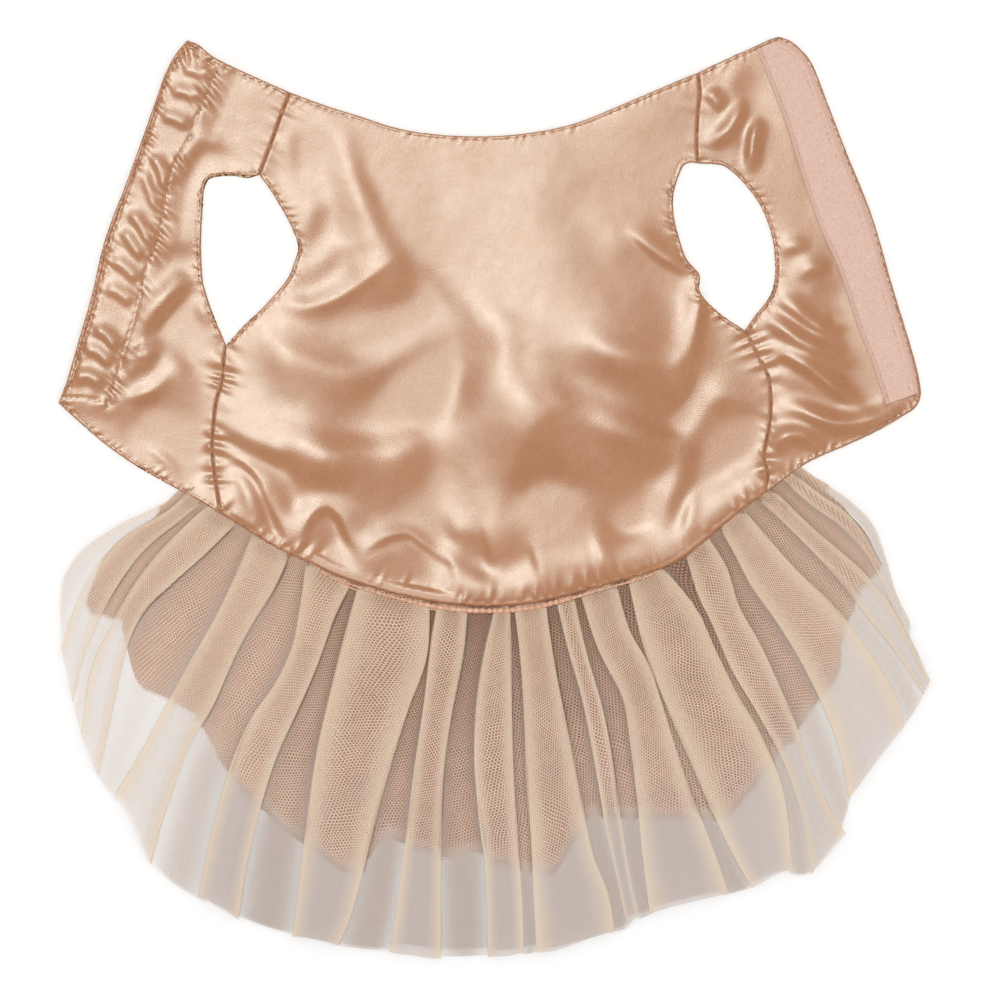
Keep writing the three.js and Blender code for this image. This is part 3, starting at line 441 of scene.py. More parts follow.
def lining_height(X, Y, ring):
    """Height of the satin's upper face above the floor, in mm."""
    z = np.full(len(X), 1.55)
    z += field_at(X, Y)
    # free edges: rolled over, with a topstitch groove
    free = np.full(len(X), 1e9)
    for k, line in enumerate(FREE_EDGES):
        if line is RIGHT_HOLE_IN:
            period, amp = 5.4, 0.34
        elif line is NECK:
            period, amp = 4.8, 0.15
        else:
            period, amp = 4.6, 0.30
        p, d = puckers(line, X, Y, period, amp, 3.4, 0.7, 100 + 7 * k, 0.6)
        free = np.minimum(free, d)
        z += p * np.exp(-0.0 * d)
    z -= 0.60 * (1 - np.sqrt(np.clip(1 - (1 - np.clip(free / 0.75, 0, 1)) ** 2, 0, 1)))
    z += 0.10 * np.exp(-((free - 1.2) / 0.8) ** 2)
    z -= 0.20 * np.exp(-((free - 1.9) / 0.42) ** 2)
    # seams between panels
    for k, line in enumerate(SEAMS):
        strong = line is LEFT_SIDE or line is RIGHT_SIDE
        p, d = puckers(line, X, Y, 7.4 if strong else 8.0, 0.46 if strong else 0.14, 7.0, 0.12, 300 + 9 * k, 0.4)
        z += p
        z -= 0.55 * np.exp(-(d / 0.5) ** 2)
    # waist: gathers, and the satin rises over the skirts' top
    p, d = puckers(WAIST, X, Y, 6.6, 0.42, 7.0, 0.22, 400, 0.5)
    z += p + 1.2 * smooth(1 - d / 26.0) - 0.55 * smooth(1 - d / 4.0)
    z -= 0.6 * (1 - np.sqrt(np.clip(1 - (1 - np.clip(d / 0.8, 0, 1)) ** 2, 0, 1)))
    # hook strip's stitched rectangle under the left wing
    if ring is LEFT_RING:
        lift = inside(X, Y, STRIP_POLY)
        near_strip = np.full(len(X), 1e9)
        for k, line in enumerate((HOOK_IN, HOOK_OUT, HOOK_FOOT, HOOK_TOP)):
            p, d = puckers(line, X, Y, 6.4, 0.27, 5.2, 0.5, 500 + 5 * k, 0.3)
            z += p
            z -= 0.36 * np.exp(-(d / 0.5) ** 2)
            near_strip = np.minimum(near_strip, d)
        z += 0.62 * np.where(lift, 1.0, 1 - smooth(near_strip / 11.0))
    return z


# -------------------------------------------------------------- mesh helpers
def mesh_object(name, verts, faces, smooth_shade=True):
    me = bpy.data.meshes.new(name)
    verts = np.asarray(verts, np.float32)
    me.vertices.add(len(verts)); me.vertices.foreach_set("co", verts.ravel())
    faces = [np.asarray(f) for f in (faces if isinstance(faces, list) else [faces])]
    faces = [f for f in faces if len(f)]
    loops = np.concatenate([f.ravel() for f in faces]).astype(np.int32)
    sizes = np.concatenate([np.full(len(f), f.shape[1]) for f in faces]).astype(np.int32)
    starts = np.r_[0, np.cumsum(sizes)[:-1]].astype(np.int32)
    me.loops.add(len(loops)); me.loops.foreach_set("vertex_index", loops)
    me.polygons.add(len(sizes)); me.polygons.foreach_set("loop_start", starts)
    me.update(calc_edges=True)
    me.validate()
    me.polygons.foreach_set("use_smooth", np.full(len(me.polygons), smooth_shade, bool))
    ob = bpy.data.objects.new(name, me)
    bpy.context.scene.collection.objects.link(ob)
    return ob


def attribute(ob, name, values):
    a = ob.data.attributes.new(name, "FLOAT", "POINT")
    a.data.foreach_set("value", np.asarray(values, np.float32))


def vector_attribute(ob, name, values):
    a = ob.data.attributes.new(name, "FLOAT_VECTOR", "POINT")
    a.data.foreach_set("vector", np.asarray(values, np.float32).ravel())


def thicken(V, F, thick):
    """Closed shell: the sheet, its underside thick metres lower, and a rim."""
    n = len(V)
    low = V.copy(); low[:, 2] -= thick
    e = np.vstack([F[:, [0, 1]], F[:, [1, 2]], F[:, [2, 0]]])
    key = np.sort(e, 1); code = key[:, 0].astype(np.int64) * n + key[:, 1]
    u, idx, cnt = np.unique(code, return_index=True, return_counts=True)
    rim = e[idx[cnt == 1]]
    quads = np.stack([rim[:, 1], rim[:, 0], rim[:, 0] + n, rim[:, 1] + n], 1)
    return np.vstack([V, low]), [np.vstack([F, F[:, ::-1] + n]), quads]


def inset_ring(ring, amounts):
    """Resamples a closed ring and gives its inward normals and how far to move each point, in plan units."""
    P = resample(np.vstack([ring, ring[:1]]), 2.2)[:-1]
    area = 0.5 * np.sum(P[:, 0] * np.roll(P[:, 1], -1) - np.roll(P[:, 0], -1) * P[:, 1])
    T = np.roll(P, -1, 0) - np.roll(P, 1, 0)
    T /= np.linalg.norm(T, axis=1)[:, None] + 1e-9
    N = np.stack([-T[:, 1], T[:, 0]], 1) * (1 if area > 0 else -1)
    return P, N, amounts(P) if callable(amounts) else np.full(len(P), amounts)


def fill_ring(ring, pitch, amounts, rows):
    """Triangulates a ring: even rows of points along its edge, then a grid."""
    P, N, a = inset_ring(ring, amounts)
    B = P + N * a[:, None]
    pts = [B]
    for d in rows:
        Q = P + N * (a[:, None] + d)
        ok = inside(Q[:, 0], Q[:, 1], B)
        dist = near(np.vstack([B, B[:1]]), Q[:, 0], Q[:, 1])[0]
        pts.append(Q[ok & (dist > 0.86 * d)])
    x0, y0 = B.min(0); x1, y1 = B.max(0)
    grid = []
    for r, y in enumerate(np.arange(y0, y1, pitch * 0.8660254)):
        xs = np.arange(x0 + (pitch / 2 if r % 2 else 0), x1, pitch)
        grid.append(np.stack([xs, np.full(len(xs), y)], 1))
    G = np.vstack(grid)
    G = G[inside(G[:, 0], G[:, 1], B)]
    last = (rows[-1] if len(rows) else 0) + pitch * 0.62
    G = G[near(np.vstack([B, B[:1]]), G[:, 0], G[:, 1])[0] > last]
    pts.append(G)
    V = np.vstack(pts)
    m = len(B)
    edges = [(i, (i + 1) % m) for i in range(m)]
    out = delaunay_2d_cdt([Vector((float(x), float(y))) for x, y in V], edges, [], 1, 1e-5, False)
    W = np.array([(v.x, v.y) for v in out[0]])
    F = np.array([f for f in out[2] if len(f) == 3])
    mid = (W[F[:, 0]] + W[F[:, 1]] + W[F[:, 2]]) / 3
    F = F[inside(mid[:, 0], mid[:, 1], B)]
    used, back = np.unique(F, return_inverse=True)
    W = W[used]; F = back.reshape(F.shape)
    A, Bq, C = W[F[:, 0]], W[F[:, 1]], W[F[:, 2]]
    turn = (Bq[:, 0] - A[:, 0]) * (C[:, 1] - A[:, 1]) - (Bq[:, 1] - A[:, 1]) * (C[:, 0] - A[:, 0])
    F = F[np.abs(turn) > 1e-6]; turn = turn[np.abs(turn) > 1e-6]
    F[turn > 0] = F[turn > 0][:, ::-1]      # y runs down, so this faces up
    return W, F


# spots where the outer cloth's edge shows past the lining: x, y, reach, amount
PEEKS = [(154, 105, 6, .9), (141, 137, 8, 1.1), (130, 167, 8, 1.0), (118, 208, 7, .8), (110, 232, 9, 1.1), (101, 250, 7, 1.0), (94, 284, 6, .8),
         (225, 174, 16, 2.2), (242, 176, 14, 2.4), (208, 182, 10, 1.5), (203, 203, 10, 1.4), (202, 240, 6, .8), (145, 471, 10, 1.6), (160, 481, 8, 1.0),
         (768, 292, 14, 1.6), (774, 270, 10, 1.2), (758, 312, 9, 1.0), (778, 37, 10, 1.2), (760, 44, 8, .9), (815, 70, 12, .9), (828, 103, 8, .8), (846, 152, 8, .8),
         (300, 247, 12, 1.4), (286, 280, 10, 1.0), (250, 320, 9, 1.2), (232, 338, 9, 1.4), (214, 318, 10, 1.4), (207, 300, 8, .8),
         (674, 200, 10, .9), (700, 285, 9, 1.0), (722, 314, 9, 1.2), (742, 328, 8, 1.2), (198, 48, 8, .9), (66, 384, 8, .8), (84, 427, 8, .7)]


def lining_inset(P):
    a = np.full(len(P), 0.35)
    for x, y, reach, amount in PEEKS:
        a = np.maximum(a, amount * np.exp(-(((P[:, 0] - x) ** 2 + (P[:, 1] - y) ** 2) / reach ** 2) ** 1.5) + 0.1)
    a += 0.15 * wobble(51)(P[:, 0] * 0.21 + P[:, 1] * 0.17)
    for line in SEAMS:
        d = near(line, P[:, 0], P[:, 1])[0]
        a = np.where(d < 1.0, 0.22, a)
    return a


def outer_inset(P):
    a = 0.25 + 0.22 * wobble(53)(P[:, 0] * 0.3 + P[:, 1] * 0.26)
    for line in SEAMS:
        d = near(line, P[:, 0], P[:, 1])[0]
        a = np.where(d < 1.0, 0.22, a)
    return a


made = {}


def make_lining(name, ring, pitch):
    W, F = fill_ring(ring, pitch, lining_inset, [0.6, 1.4, 2.6, 4.2, 5.6, 7.0])
    z = lining_height(W[:, 0], W[:, 1], ring)
    z = 1.15 + 0.25 * np.logaddexp(0, (z - 1.15) / 0.25)
    at_waist = near(WAIST, W[:, 0], W[:, 1])[0] * 0.5
    z = np.maximum(z, 1.15 + 1.5 * smooth((8.0 - at_waist) / 3.0) * smooth(at_waist / 1.0))
    x, y = to_m(W[:, 0], W[:, 1])
    V = np.stack([x, y, z * MM], 1)
    near_edge = np.full(len(W), 1e9)
    for line in FREE_EDGES + SEAMS + [WAIST]:
        near_edge = np.minimum(near_edge, near(line, W[:, 0], W[:, 1])[0])
    VV, FF = thicken(V, F, 0.00035)
    ob = mesh_object(name, VV, FF)
    attribute(ob, "edge", np.tile(np.exp(-(near_edge * 0.5 / 2.2) ** 2), 2))
    made[name] = ob
    return ob


def make_outer(name, ring, pitch):
    W, F = fill_ring(ring, pitch, outer_inset, [0.8, 2.4])
    X, Y = W[:, 0], W[:, 1]
    z = np.full(len(W), 0.75)
    rng = wobble(61)
    z += 0.18 * rng(X * 0.05 + 3 * wobble(62)(Y * 0.03)) + 0.12 * wobble(63)(Y * 0.09 + X * 0.02)
    edge = near(np.vstack([ring, ring[:1]]), X, Y)[0] * 0.5
    z -= 0.22 * (1 - smooth(edge / 1.0))
    z = np.maximum(z, 0.54)
    if ring is LEFT_RING:
        near_strip = np.full(len(X), 1e9)
        for line in (HOOK_IN, HOOK_OUT, HOOK_FOOT, HOOK_TOP):
            near_strip = np.minimum(near_strip, near(line, X, Y)[0] * 0.5)
        z += 0.62 * np.where(inside(X, Y, STRIP_POLY), 1.0, 1 - smooth(near_strip / 7.0))
    # the underside swells a little between the seams, as the shell's own cloth
    x, y = to_m(X, Y)
    V = np.stack([x, y, z * MM], 1)
    VV, FF = thicken(V, F, 0.0005)
    ob = mesh_object(name, VV, FF)
    made[name] = ob
    return ob


make_lining("lining_back_cloth", BACK_RING, 2.5)
make_lining("lining_left_cloth", LEFT_RING, 2.5)
make_lining("lining_right_cloth", RIGHT_RING, 2.5)
make_outer("outer_back_cloth", BACK_RING, 6.0)
make_outer("outer_left_cloth", LEFT_RING, 6.0)
make_outer("outer_right_cloth", RIGHT_RING, 6.0)


# ------------------------------------------------------------------- tapes
def strip(name, side_a, side_b, rows, cols, height, thick, attrs=True):
    A = resample(side_a, count=rows); B = resample(side_b, count=rows)
    t = np.linspace(0, 1, cols)
    P = A[:, None, :] * (1 - t[None, :, None]) + B[:, None, :] * t[None, :, None]
    along = np.r_[0, np.cumsum(np.linalg.norm(np.diff((A + B) / 2, axis=0), axis=1))] * 0.5
    width = np.linalg.norm(B - A, axis=1) * 0.5
    S = np.repeat(along[:, None], cols, 1)
    C = width[:, None] * t[None, :]
    R = width[:, None] * (1 - t[None, :])
    Z = height(P[..., 0], P[..., 1], S, C, R)
    x, y = to_m(P[..., 0], P[..., 1])
    V = np.stack([x, y, Z * MM], -1).reshape(-1, 3)
    i = np.arange((rows - 1) * cols).reshape(rows - 1, cols)[:, :-1].ravel()
    F = np.vstack([np.stack([i, i + cols, i + cols + 1], 1), np.stack([i, i + cols + 1, i + 1], 1)])
    a, b, c = V[F[0]]
    if np.cross(b - a, c - a)[2] < 0:
        F = F[:, ::-1]
    n = len(V)
    low = V.copy(); low[:, 2] -= thick
    e = np.vstack([F[:, [0, 1]], F[:, [1, 2]], F[:, [2, 0]]])
    key = np.sort(e, 1); code = key[:, 0].astype(np.int64) * n + key[:, 1]
    u, idx, cnt = np.unique(code, return_index=True, return_counts=True)
    rim = e[idx[cnt == 1]]
    quads = np.stack([rim[:, 1], rim[:, 0], rim[:, 0] + n, rim[:, 1] + n], 1)
    ob = mesh_object(name, np.vstack([V, low]), [np.vstack([F, F[:, ::-1] + n]), quads])
    vector_attribute(ob, "tape", np.tile(np.stack([S, C, R], -1).reshape(-1, 3), (2, 1)))
    made[name] = ob
    return ob, float((np.diff(along) * (width[:-1] + width[1:]) / 2).sum()), float(along[-1]), float(width.mean())


def loop_height(X, Y, S, C, R):
    e = np.minimum(C, R)
    z = np.full(X.shape, 2.95)
    z += 0.16 * wobble(71)(S * 0.07) * smooth(e / 4) + 0.10 * wobble(72)(S * 0.21 + C * 0.1)
    z += 0.03 * np.random.default_rng(73).standard_normal(X.shape) * smooth((e - 2.0) / 1.0)
    z -= 0.55 * (1 - np.sqrt(np.clip(1 - (1 - np.clip(e / 0.7, 0, 1)) ** 2, 0, 1)))
    z -= 0.16 * smooth((2.6 - e) / 0.6)                                     # flat woven selvedge
    z += 0.05 * np.cos(2 * math.pi * S / 0.95) * smooth((2.6 - e) / 0.6)       # its ribs
    z -= 0.28 * np.exp(-((C - 2.1) / 0.3) ** 2) + 0.30 * np.exp(-((R - 4.2) / 0.35) ** 2)   # stitch grooves
    crease = near(np.array([(772.0, 60.0), (784.0, 54.0), (799.0, 50.0)]), X.ravel(), Y.ravel())[0].reshape(X.shape) * 0.5
    z -= 0.55 * np.exp(-(crease / 0.8) ** 2)
    crease = near(np.array([(768.0, 66.0), (788.0, 60.0), (803.0, 58.0)]), X.ravel(), Y.ravel())[0].reshape(X.shape) * 0.5
    z += 0.35 * np.exp(-(crease / 1.1) ** 2)
    ends = np.minimum(S, S.max() - S)
    z -= 0.4 * (1 - smooth(ends / 1.2))
    return z


loop_ob, loop_area, loop_len, loop_width = strip("loop_tape_cloth", LOOP_IN, LOOP_OUT, 430, 44, loop_height, 0.0009)


def hook_height(X, Y, S, C, R):
    e = np.minimum(C, R)
    z = np.full(X.shape, 0.72)
    z -= 0.08 * smooth((2.4 - e) / 0.6)
    z += 0.03 * np.cos(2 * math.pi * S / 1.1) * smooth((2.4 - e) / 0.6)
    return z


hook_ob, hook_area, hook_len, hook_width = strip("hook_tape_cloth", HOOK_OUT + np.array([1.5, 1.0]), HOOK_IN - np.array([1.5, 0.0]), 150, 20, hook_height, 0.00055)


# ----------------------------------------------------------------- stitches
def capsules(lines, count_sides=6):
    """One mesh of many little stitches: (points in metres, direction, length, thickness)."""
    ring = np.linspace(0, 2 * math.pi, count_sides, endpoint=False)
    prof = [(-0.5, 0.25), (-0.38, 0.8), (0.0, 1.0), (0.38, 0.8), (0.5, 0.25)]
    V, F, off = [], [], 0
    base = []
    for a, r in prof:
        base.append(np.stack([np.full(count_sides, a), r * np.cos(ring), r * np.sin(ring)], 1))
    base = np.vstack(base)
    faces = []
    for k in range(len(prof) - 1):
        for j in range(count_sides):
            a = k * count_sides + j; b = k * count_sides + (j + 1) % count_sides
            faces.append((a, b, b + count_sides, a + count_sides))
    quads = np.array(faces)
    caps = []
    for j in range(1, count_sides - 1):
        caps.append((0, j + 1, j))
        e = (len(prof) - 1) * count_sides
        caps.append((e, e + j, e + j + 1))
    caps = np.array(caps)
    P, D, L, T = lines
    D = D / (np.linalg.norm(D, axis=1)[:, None] + 1e-12)
    up = np.tile(np.array([0.0, 0.0, 1.0]), (len(D), 1))
    S = np.cross(up, D); S /= np.linalg.norm(S, axis=1)[:, None] + 1e-12
    U = np.cross(D, S)
    VV = (P[:, None, :] + base[None, :, 0:1] * (L[:, None, None] * D[:, None, :])
          + base[None, :, 1:2] * (T[:, None, None] * S[:, None, :] * 0.5)
          + base[None, :, 2:3] * (T[:, None, None] * U[:, None, :] * 0.5))
    n = len(base)
    offs = (np.arange(len(P)) * n)[:, None, None]
    return VV.reshape(-1, 3), (quads[None] + offs).reshape(-1, 4), (caps[None] + offs).reshape(-1, 3)


def offset_line(P, d):
    T = np.gradient(P, axis=0); T /= np.linalg.norm(T, axis=1)[:, None] + 1e-9
    return P + np.stack([-T[:, 1], T[:, 0]], 1) * d


def stitch_row(P, height, pitch=2.7, length=2.0, thick=0.34, lift=0.05, seed=1, skip=0.0, wander=0.25):
    """Stitches along a plan line; pitch, length and thickness in mm."""
    s = np.r_[0, np.cumsum(np.linalg.norm(np.diff(P, axis=0), axis=1))] * 0.5
    rng = np.random.default_rng(seed)
    at = np.arange(pitch * 0.5, s[-1] - pitch * 0.3, pitch)
    at = at + rng.uniform(-0.12, 0.12, len(at)) * pitch
    keep = rng.uniform(0, 1, len(at)) >= skip
    at = at[keep]
    a = np.stack([np.interp(at - length / 2, s, P[:, 0]), np.interp(at - length / 2, s, P[:, 1])], 1)
    b = np.stack([np.interp(at + length / 2, s, P[:, 0]), np.interp(at + length / 2, s, P[:, 1])], 1)
    a += rng.uniform(-wander, wander, a.shape); b += rng.uniform(-wander, wander, b.shape)
    za = height(a[:, 0], a[:, 1]); zb = height(b[:, 0], b[:, 1]); m = (a + b) / 2
    zm = height(m[:, 0], m[:, 1])
    za = np.maximum((za + zm) / 2, 1.35); zb = np.maximum((zb + zm) / 2, 1.35); zm = np.maximum(zm, 1.35)
    ax, ay = to_m(a[:, 0], a[:, 1]); bx, by = to_m(b[:, 0], b[:, 1])
    A = np.stack([ax, ay, (za + lift) * MM], 1); B = np.stack([bx, by, (zb + lift) * MM], 1)
    mid = (A + B) / 2; mid[:, 2] = np.maximum(mid[:, 2], (zm + lift) * MM)
    return mid, B - A, np.linalg.norm(B - A, axis=1) * 1.0, np.full(len(mid), thick * MM)


def on(ring):
    return lambda X, Y: lining_height(np.asarray(X), np.asarray(Y), ring)


def inward(P, ring, d):
    Q = offset_line(P, d)
    k = len(Q) // 2
    if not inside(Q[k:k + 1, 0], Q[k:k + 1, 1], ring)[0]:
        Q = offset_line(P, -d)
    return Q


rows = []
D_STITCH = 3.8
for k, (line, ring) in enumerate([(NECK, BACK_RING), (NECK_LEFT, LEFT_RING), (NECK_RIGHT[:-6], RIGHT_RING), (LEFT_FOOT, LEFT_RING), (RIGHT_FOOT, RIGHT_RING),
                                  (LEFT_HOLE_IN, BACK_RING), (LEFT_HOLE_OUT, LEFT_RING), (RIGHT_HOLE_IN, BACK_RING), (RIGHT_HOLE_OUT, RIGHT_RING), (LEFT_EDGE[6:-4], LEFT_RING)]):
    rows.append(stitch_row(inward(line, ring, D_STITCH), on(ring), seed=900 + k, thick=0.46, skip=0.12, wander=0.5))
for k, line in enumerate((HOOK_IN, HOOK_FOOT, HOOK_TOP, HOOK_OUT)):
    rows.append(stitch_row(line, on(LEFT_RING), seed=930 + k, pitch=2.9, length=2.0, thick=0.46, skip=0.1, wander=0.5))
for k, (line, ring) in enumerate([(LEFT_SHOULDER, BACK_RING), (RIGHT_SHOULDER, BACK_RING), (LEFT_SIDE, BACK_RING), (RIGHT_SIDE, BACK_RING)]):
    rows.append(stitch_row(line, lambda X, Y, r=ring: lining_height(np.asarray(X), np.asarray(Y), r) - 0.1, seed=950 + k, pitch=3.0, length=1.9, thick=0.44, wander=0.7))
rows.append(stitch_row(inward(WAIST, BACK_RING, 2.2), on(BACK_RING), seed=960, pitch=3.0, length=2.0, thick=0.46, wander=0.5))


def tape_top(value):
    return lambda X, Y: np.full(len(np.asarray(X)), value)


tape_rows = [stitch_row(offset_line(LOOP_IN, -4.2) if inside(offset_line(LOOP_IN, -4.2)[40:41, 0], offset_line(LOOP_IN, -4.2)[40:41, 1], np.vstack([LOOP_IN, LOOP_OUT[::-1]]))[0] else offset_line(LOOP_IN, 4.2), tape_top(2.62), seed=970, pitch=3.0, length=2.1, thick=0.30, lift=0.02),
             stitch_row((offset_line(LOOP_OUT, 8.4) if inside(offset_line(LOOP_OUT, 8.4)[60:61, 0], offset_line(LOOP_OUT, 8.4)[60:61, 1], np.vstack([LOOP_IN, LOOP_OUT[::-1]]))[0] else offset_line(LOOP_OUT, -8.4))[6:], tape_top(2.66), seed=971, pitch=3.0, length=2.1, thick=0.30, lift=0.02),
             stitch_row(np.array([(884.0, 397.0), (900.0, 391.0), (914.0, 385.0)]), tape_top(2.78), seed=972, pitch=3.0, length=2.1, thick=0.30, lift=0.02),
             stitch_row(np.array([(763.0, 58.0), (775.0, 50.0), (786.0, 47.0)]), tape_top(2.85), seed=973, pitch=3.0, length=2.1, thick=0.30, lift=0.02)]


def stitch_object(name, groups):
    P = np.vstack([g[0] for g in groups]); D = np.vstack([g[1] for g in groups])
    L = np.concatenate([g[2] for g in groups]); T = np.concatenate([g[3] for g in groups])
    V, Q, C = capsules((P, D, L, T))
    ob = mesh_object(name, V, [Q, C])
    made[name] = ob
    return ob


stitch_object("satin_stitches", rows)
stitch_object("tape_stitches", tape_rows)


def tube(path, radii, sides=8, twist=None):
    """A closed-ended tube along points in metres."""
    P = np.asarray(path, float); n = len(P)
    T = np.gradient(P, axis=0); T /= np.linalg.norm(T, axis=1)[:, None] + 1e-12
    up = np.tile(np.array([0.0, 0.0, 1.0]), (n, 1))
    S = np.cross(up, T); S /= np.linalg.norm(S, axis=1)[:, None] + 1e-12
    U = np.cross(T, S)
    a = np.linspace(0, 2 * math.pi, sides, endpoint=False)
    ra, rb = (radii if isinstance(radii, tuple) else (radii, radii))
    ra = np.broadcast_to(np.asarray(ra, float), (n,) if np.ndim(ra) < 2 else np.shape(ra))
    rb = np.broadcast_to(np.asarray(rb, float), (n,) if np.ndim(rb) < 2 else np.shape(rb))
    if np.ndim(ra) == 1:
        ra = ra[:, None]; rb = rb[:, None]
    V = P[:, None, :] + (ra * np.cos(a)[None, :])[..., None] * S[:, None, :] + (rb * np.sin(a)[None, :])[..., None] * U[:, None, :]
    V = V.reshape(-1, 3)
    i = np.arange((n - 1) * sides).reshape(n - 1, sides)
    j = np.roll(i, -1, 1)
    Q = np.stack([i, j, j + sides, i + sides], -1).reshape(-1, 4)
    V = np.vstack([V, P[:1], P[-1:]])
    c0 = n * sides; c1 = c0 + 1
    k = np.arange(sides)
    caps = np.vstack([np.stack([np.full(sides, c0), (k + 1) % sides, k], 1),
                      np.stack([np.full(sides, c1), (n - 1) * sides + k, (n - 1) * sides + (k + 1) % sides], 1)])
    return V, Q, caps


def tubes(name, parts):
    V, Q, C, off = [], [], [], 0
    for v, q, c in parts:
        V.append(v); Q.append(q + off); C.append(c + off); off += len(v)
    ob = mesh_object(name, np.vstack(V), [np.vstack(Q), np.vstack(C)])
    made[name] = ob
    return ob


# rolled seam edge below the waist, thickest in the middle
edge_line = curve([(316, 569), (333, 578), (355, 586), (392, 597), (429, 605.5), (460, 610), (491, 611), (525, 609), (558, 602), (600, 590), (640, 579), (656, 573)], 0.8)
s = np.linspace(0, 1, len(edge_line))
length_mm = np.linalg.norm(np.diff(edge_line, axis=0), axis=1).sum() * 0.5
arc = s * length_mm
size = 0.55 + 0.75 * smooth((s - 0.18) / 0.2) * smooth((0.86 - s) / 0.2)
size *= smooth(s / 0.03) * smooth((1 - s) / 0.03) * 0.9 + 0.1
links = np.abs(np.cos(math.pi * arc / 3.1 + 0.5 * wobble(81)(arc * 0.2)))
wide = size * (0.70 + 0.40 * links + 0.05 * wobble(82)(arc * 0.9))
ex, ey = to_m(edge_line[:, 0], edge_line[:, 1])
sides = 14
ang = np.linspace(0, 2 * math.pi, sides, endpoint=False)
spiral = 0.10 * np.cos(3 * ang[None, :] + 2 * math.pi * arc[:, None] / 3.1)
path = np.stack([ex, ey, (3.15 + 0.35 * links + 0.15 * wobble(83)(arc * 0.15)) * MM], 1)
parts = [tube(path, (wide[:, None] * (1 + spiral) * MM, wide[:, None] * 0.72 * (1 + spiral) * MM), sides)]
second = curve([(340, 583), (355, 589.5), (392, 600.5), (429, 609), (445, 611)], 1.0)
sx, sy = to_m(second[:, 0], second[:, 1])
t = np.linspace(0, 1, len(second))
parts.append(tube(np.stack([sx, sy, np.full(len(second), 2.9 * MM)], 1), (0.42 * smooth(t / .08) * smooth((1 - t) / .08) + 0.03) * MM, 8))
tubes("waist_edge_roll", parts)

# little thread knots at the waist
knots = []
for kx, ky, r, seed in ((221.5, 505.5, 1.5, 5), (312.5, 562.5, 1.0, 6), (343, 588, 0.8, 7)):
    a = np.linspace(0, 2.3 * math.pi, 40)
    cx, cy = to_m(kx, ky)
    zz = float(lining_height(np.array([kx]), np.array([ky]), BACK_RING)[0])
    loop = np.stack([cx + r * MM * np.cos(a) * (0.75 + 0.1 * a / 6), cy + r * MM * np.sin(a) * 1.15, (zz + 0.55 + 0.25 * np.sin(1.5 * a)) * MM], 1)
    knots.append(tube(loop, 0.27 * MM, 7))
    tail = np.stack([cx + np.linspace(0, 1.6, 16) * r * MM, cy - np.linspace(0.4, 2.0, 16) ** 1.2 * r * MM, (zz + 0.35 + np.linspace(0.3, 0.0, 16)) * MM], 1)
    knots.append(tube(tail, 0.20 * MM, 7))
tubes("thread_knots", knots)

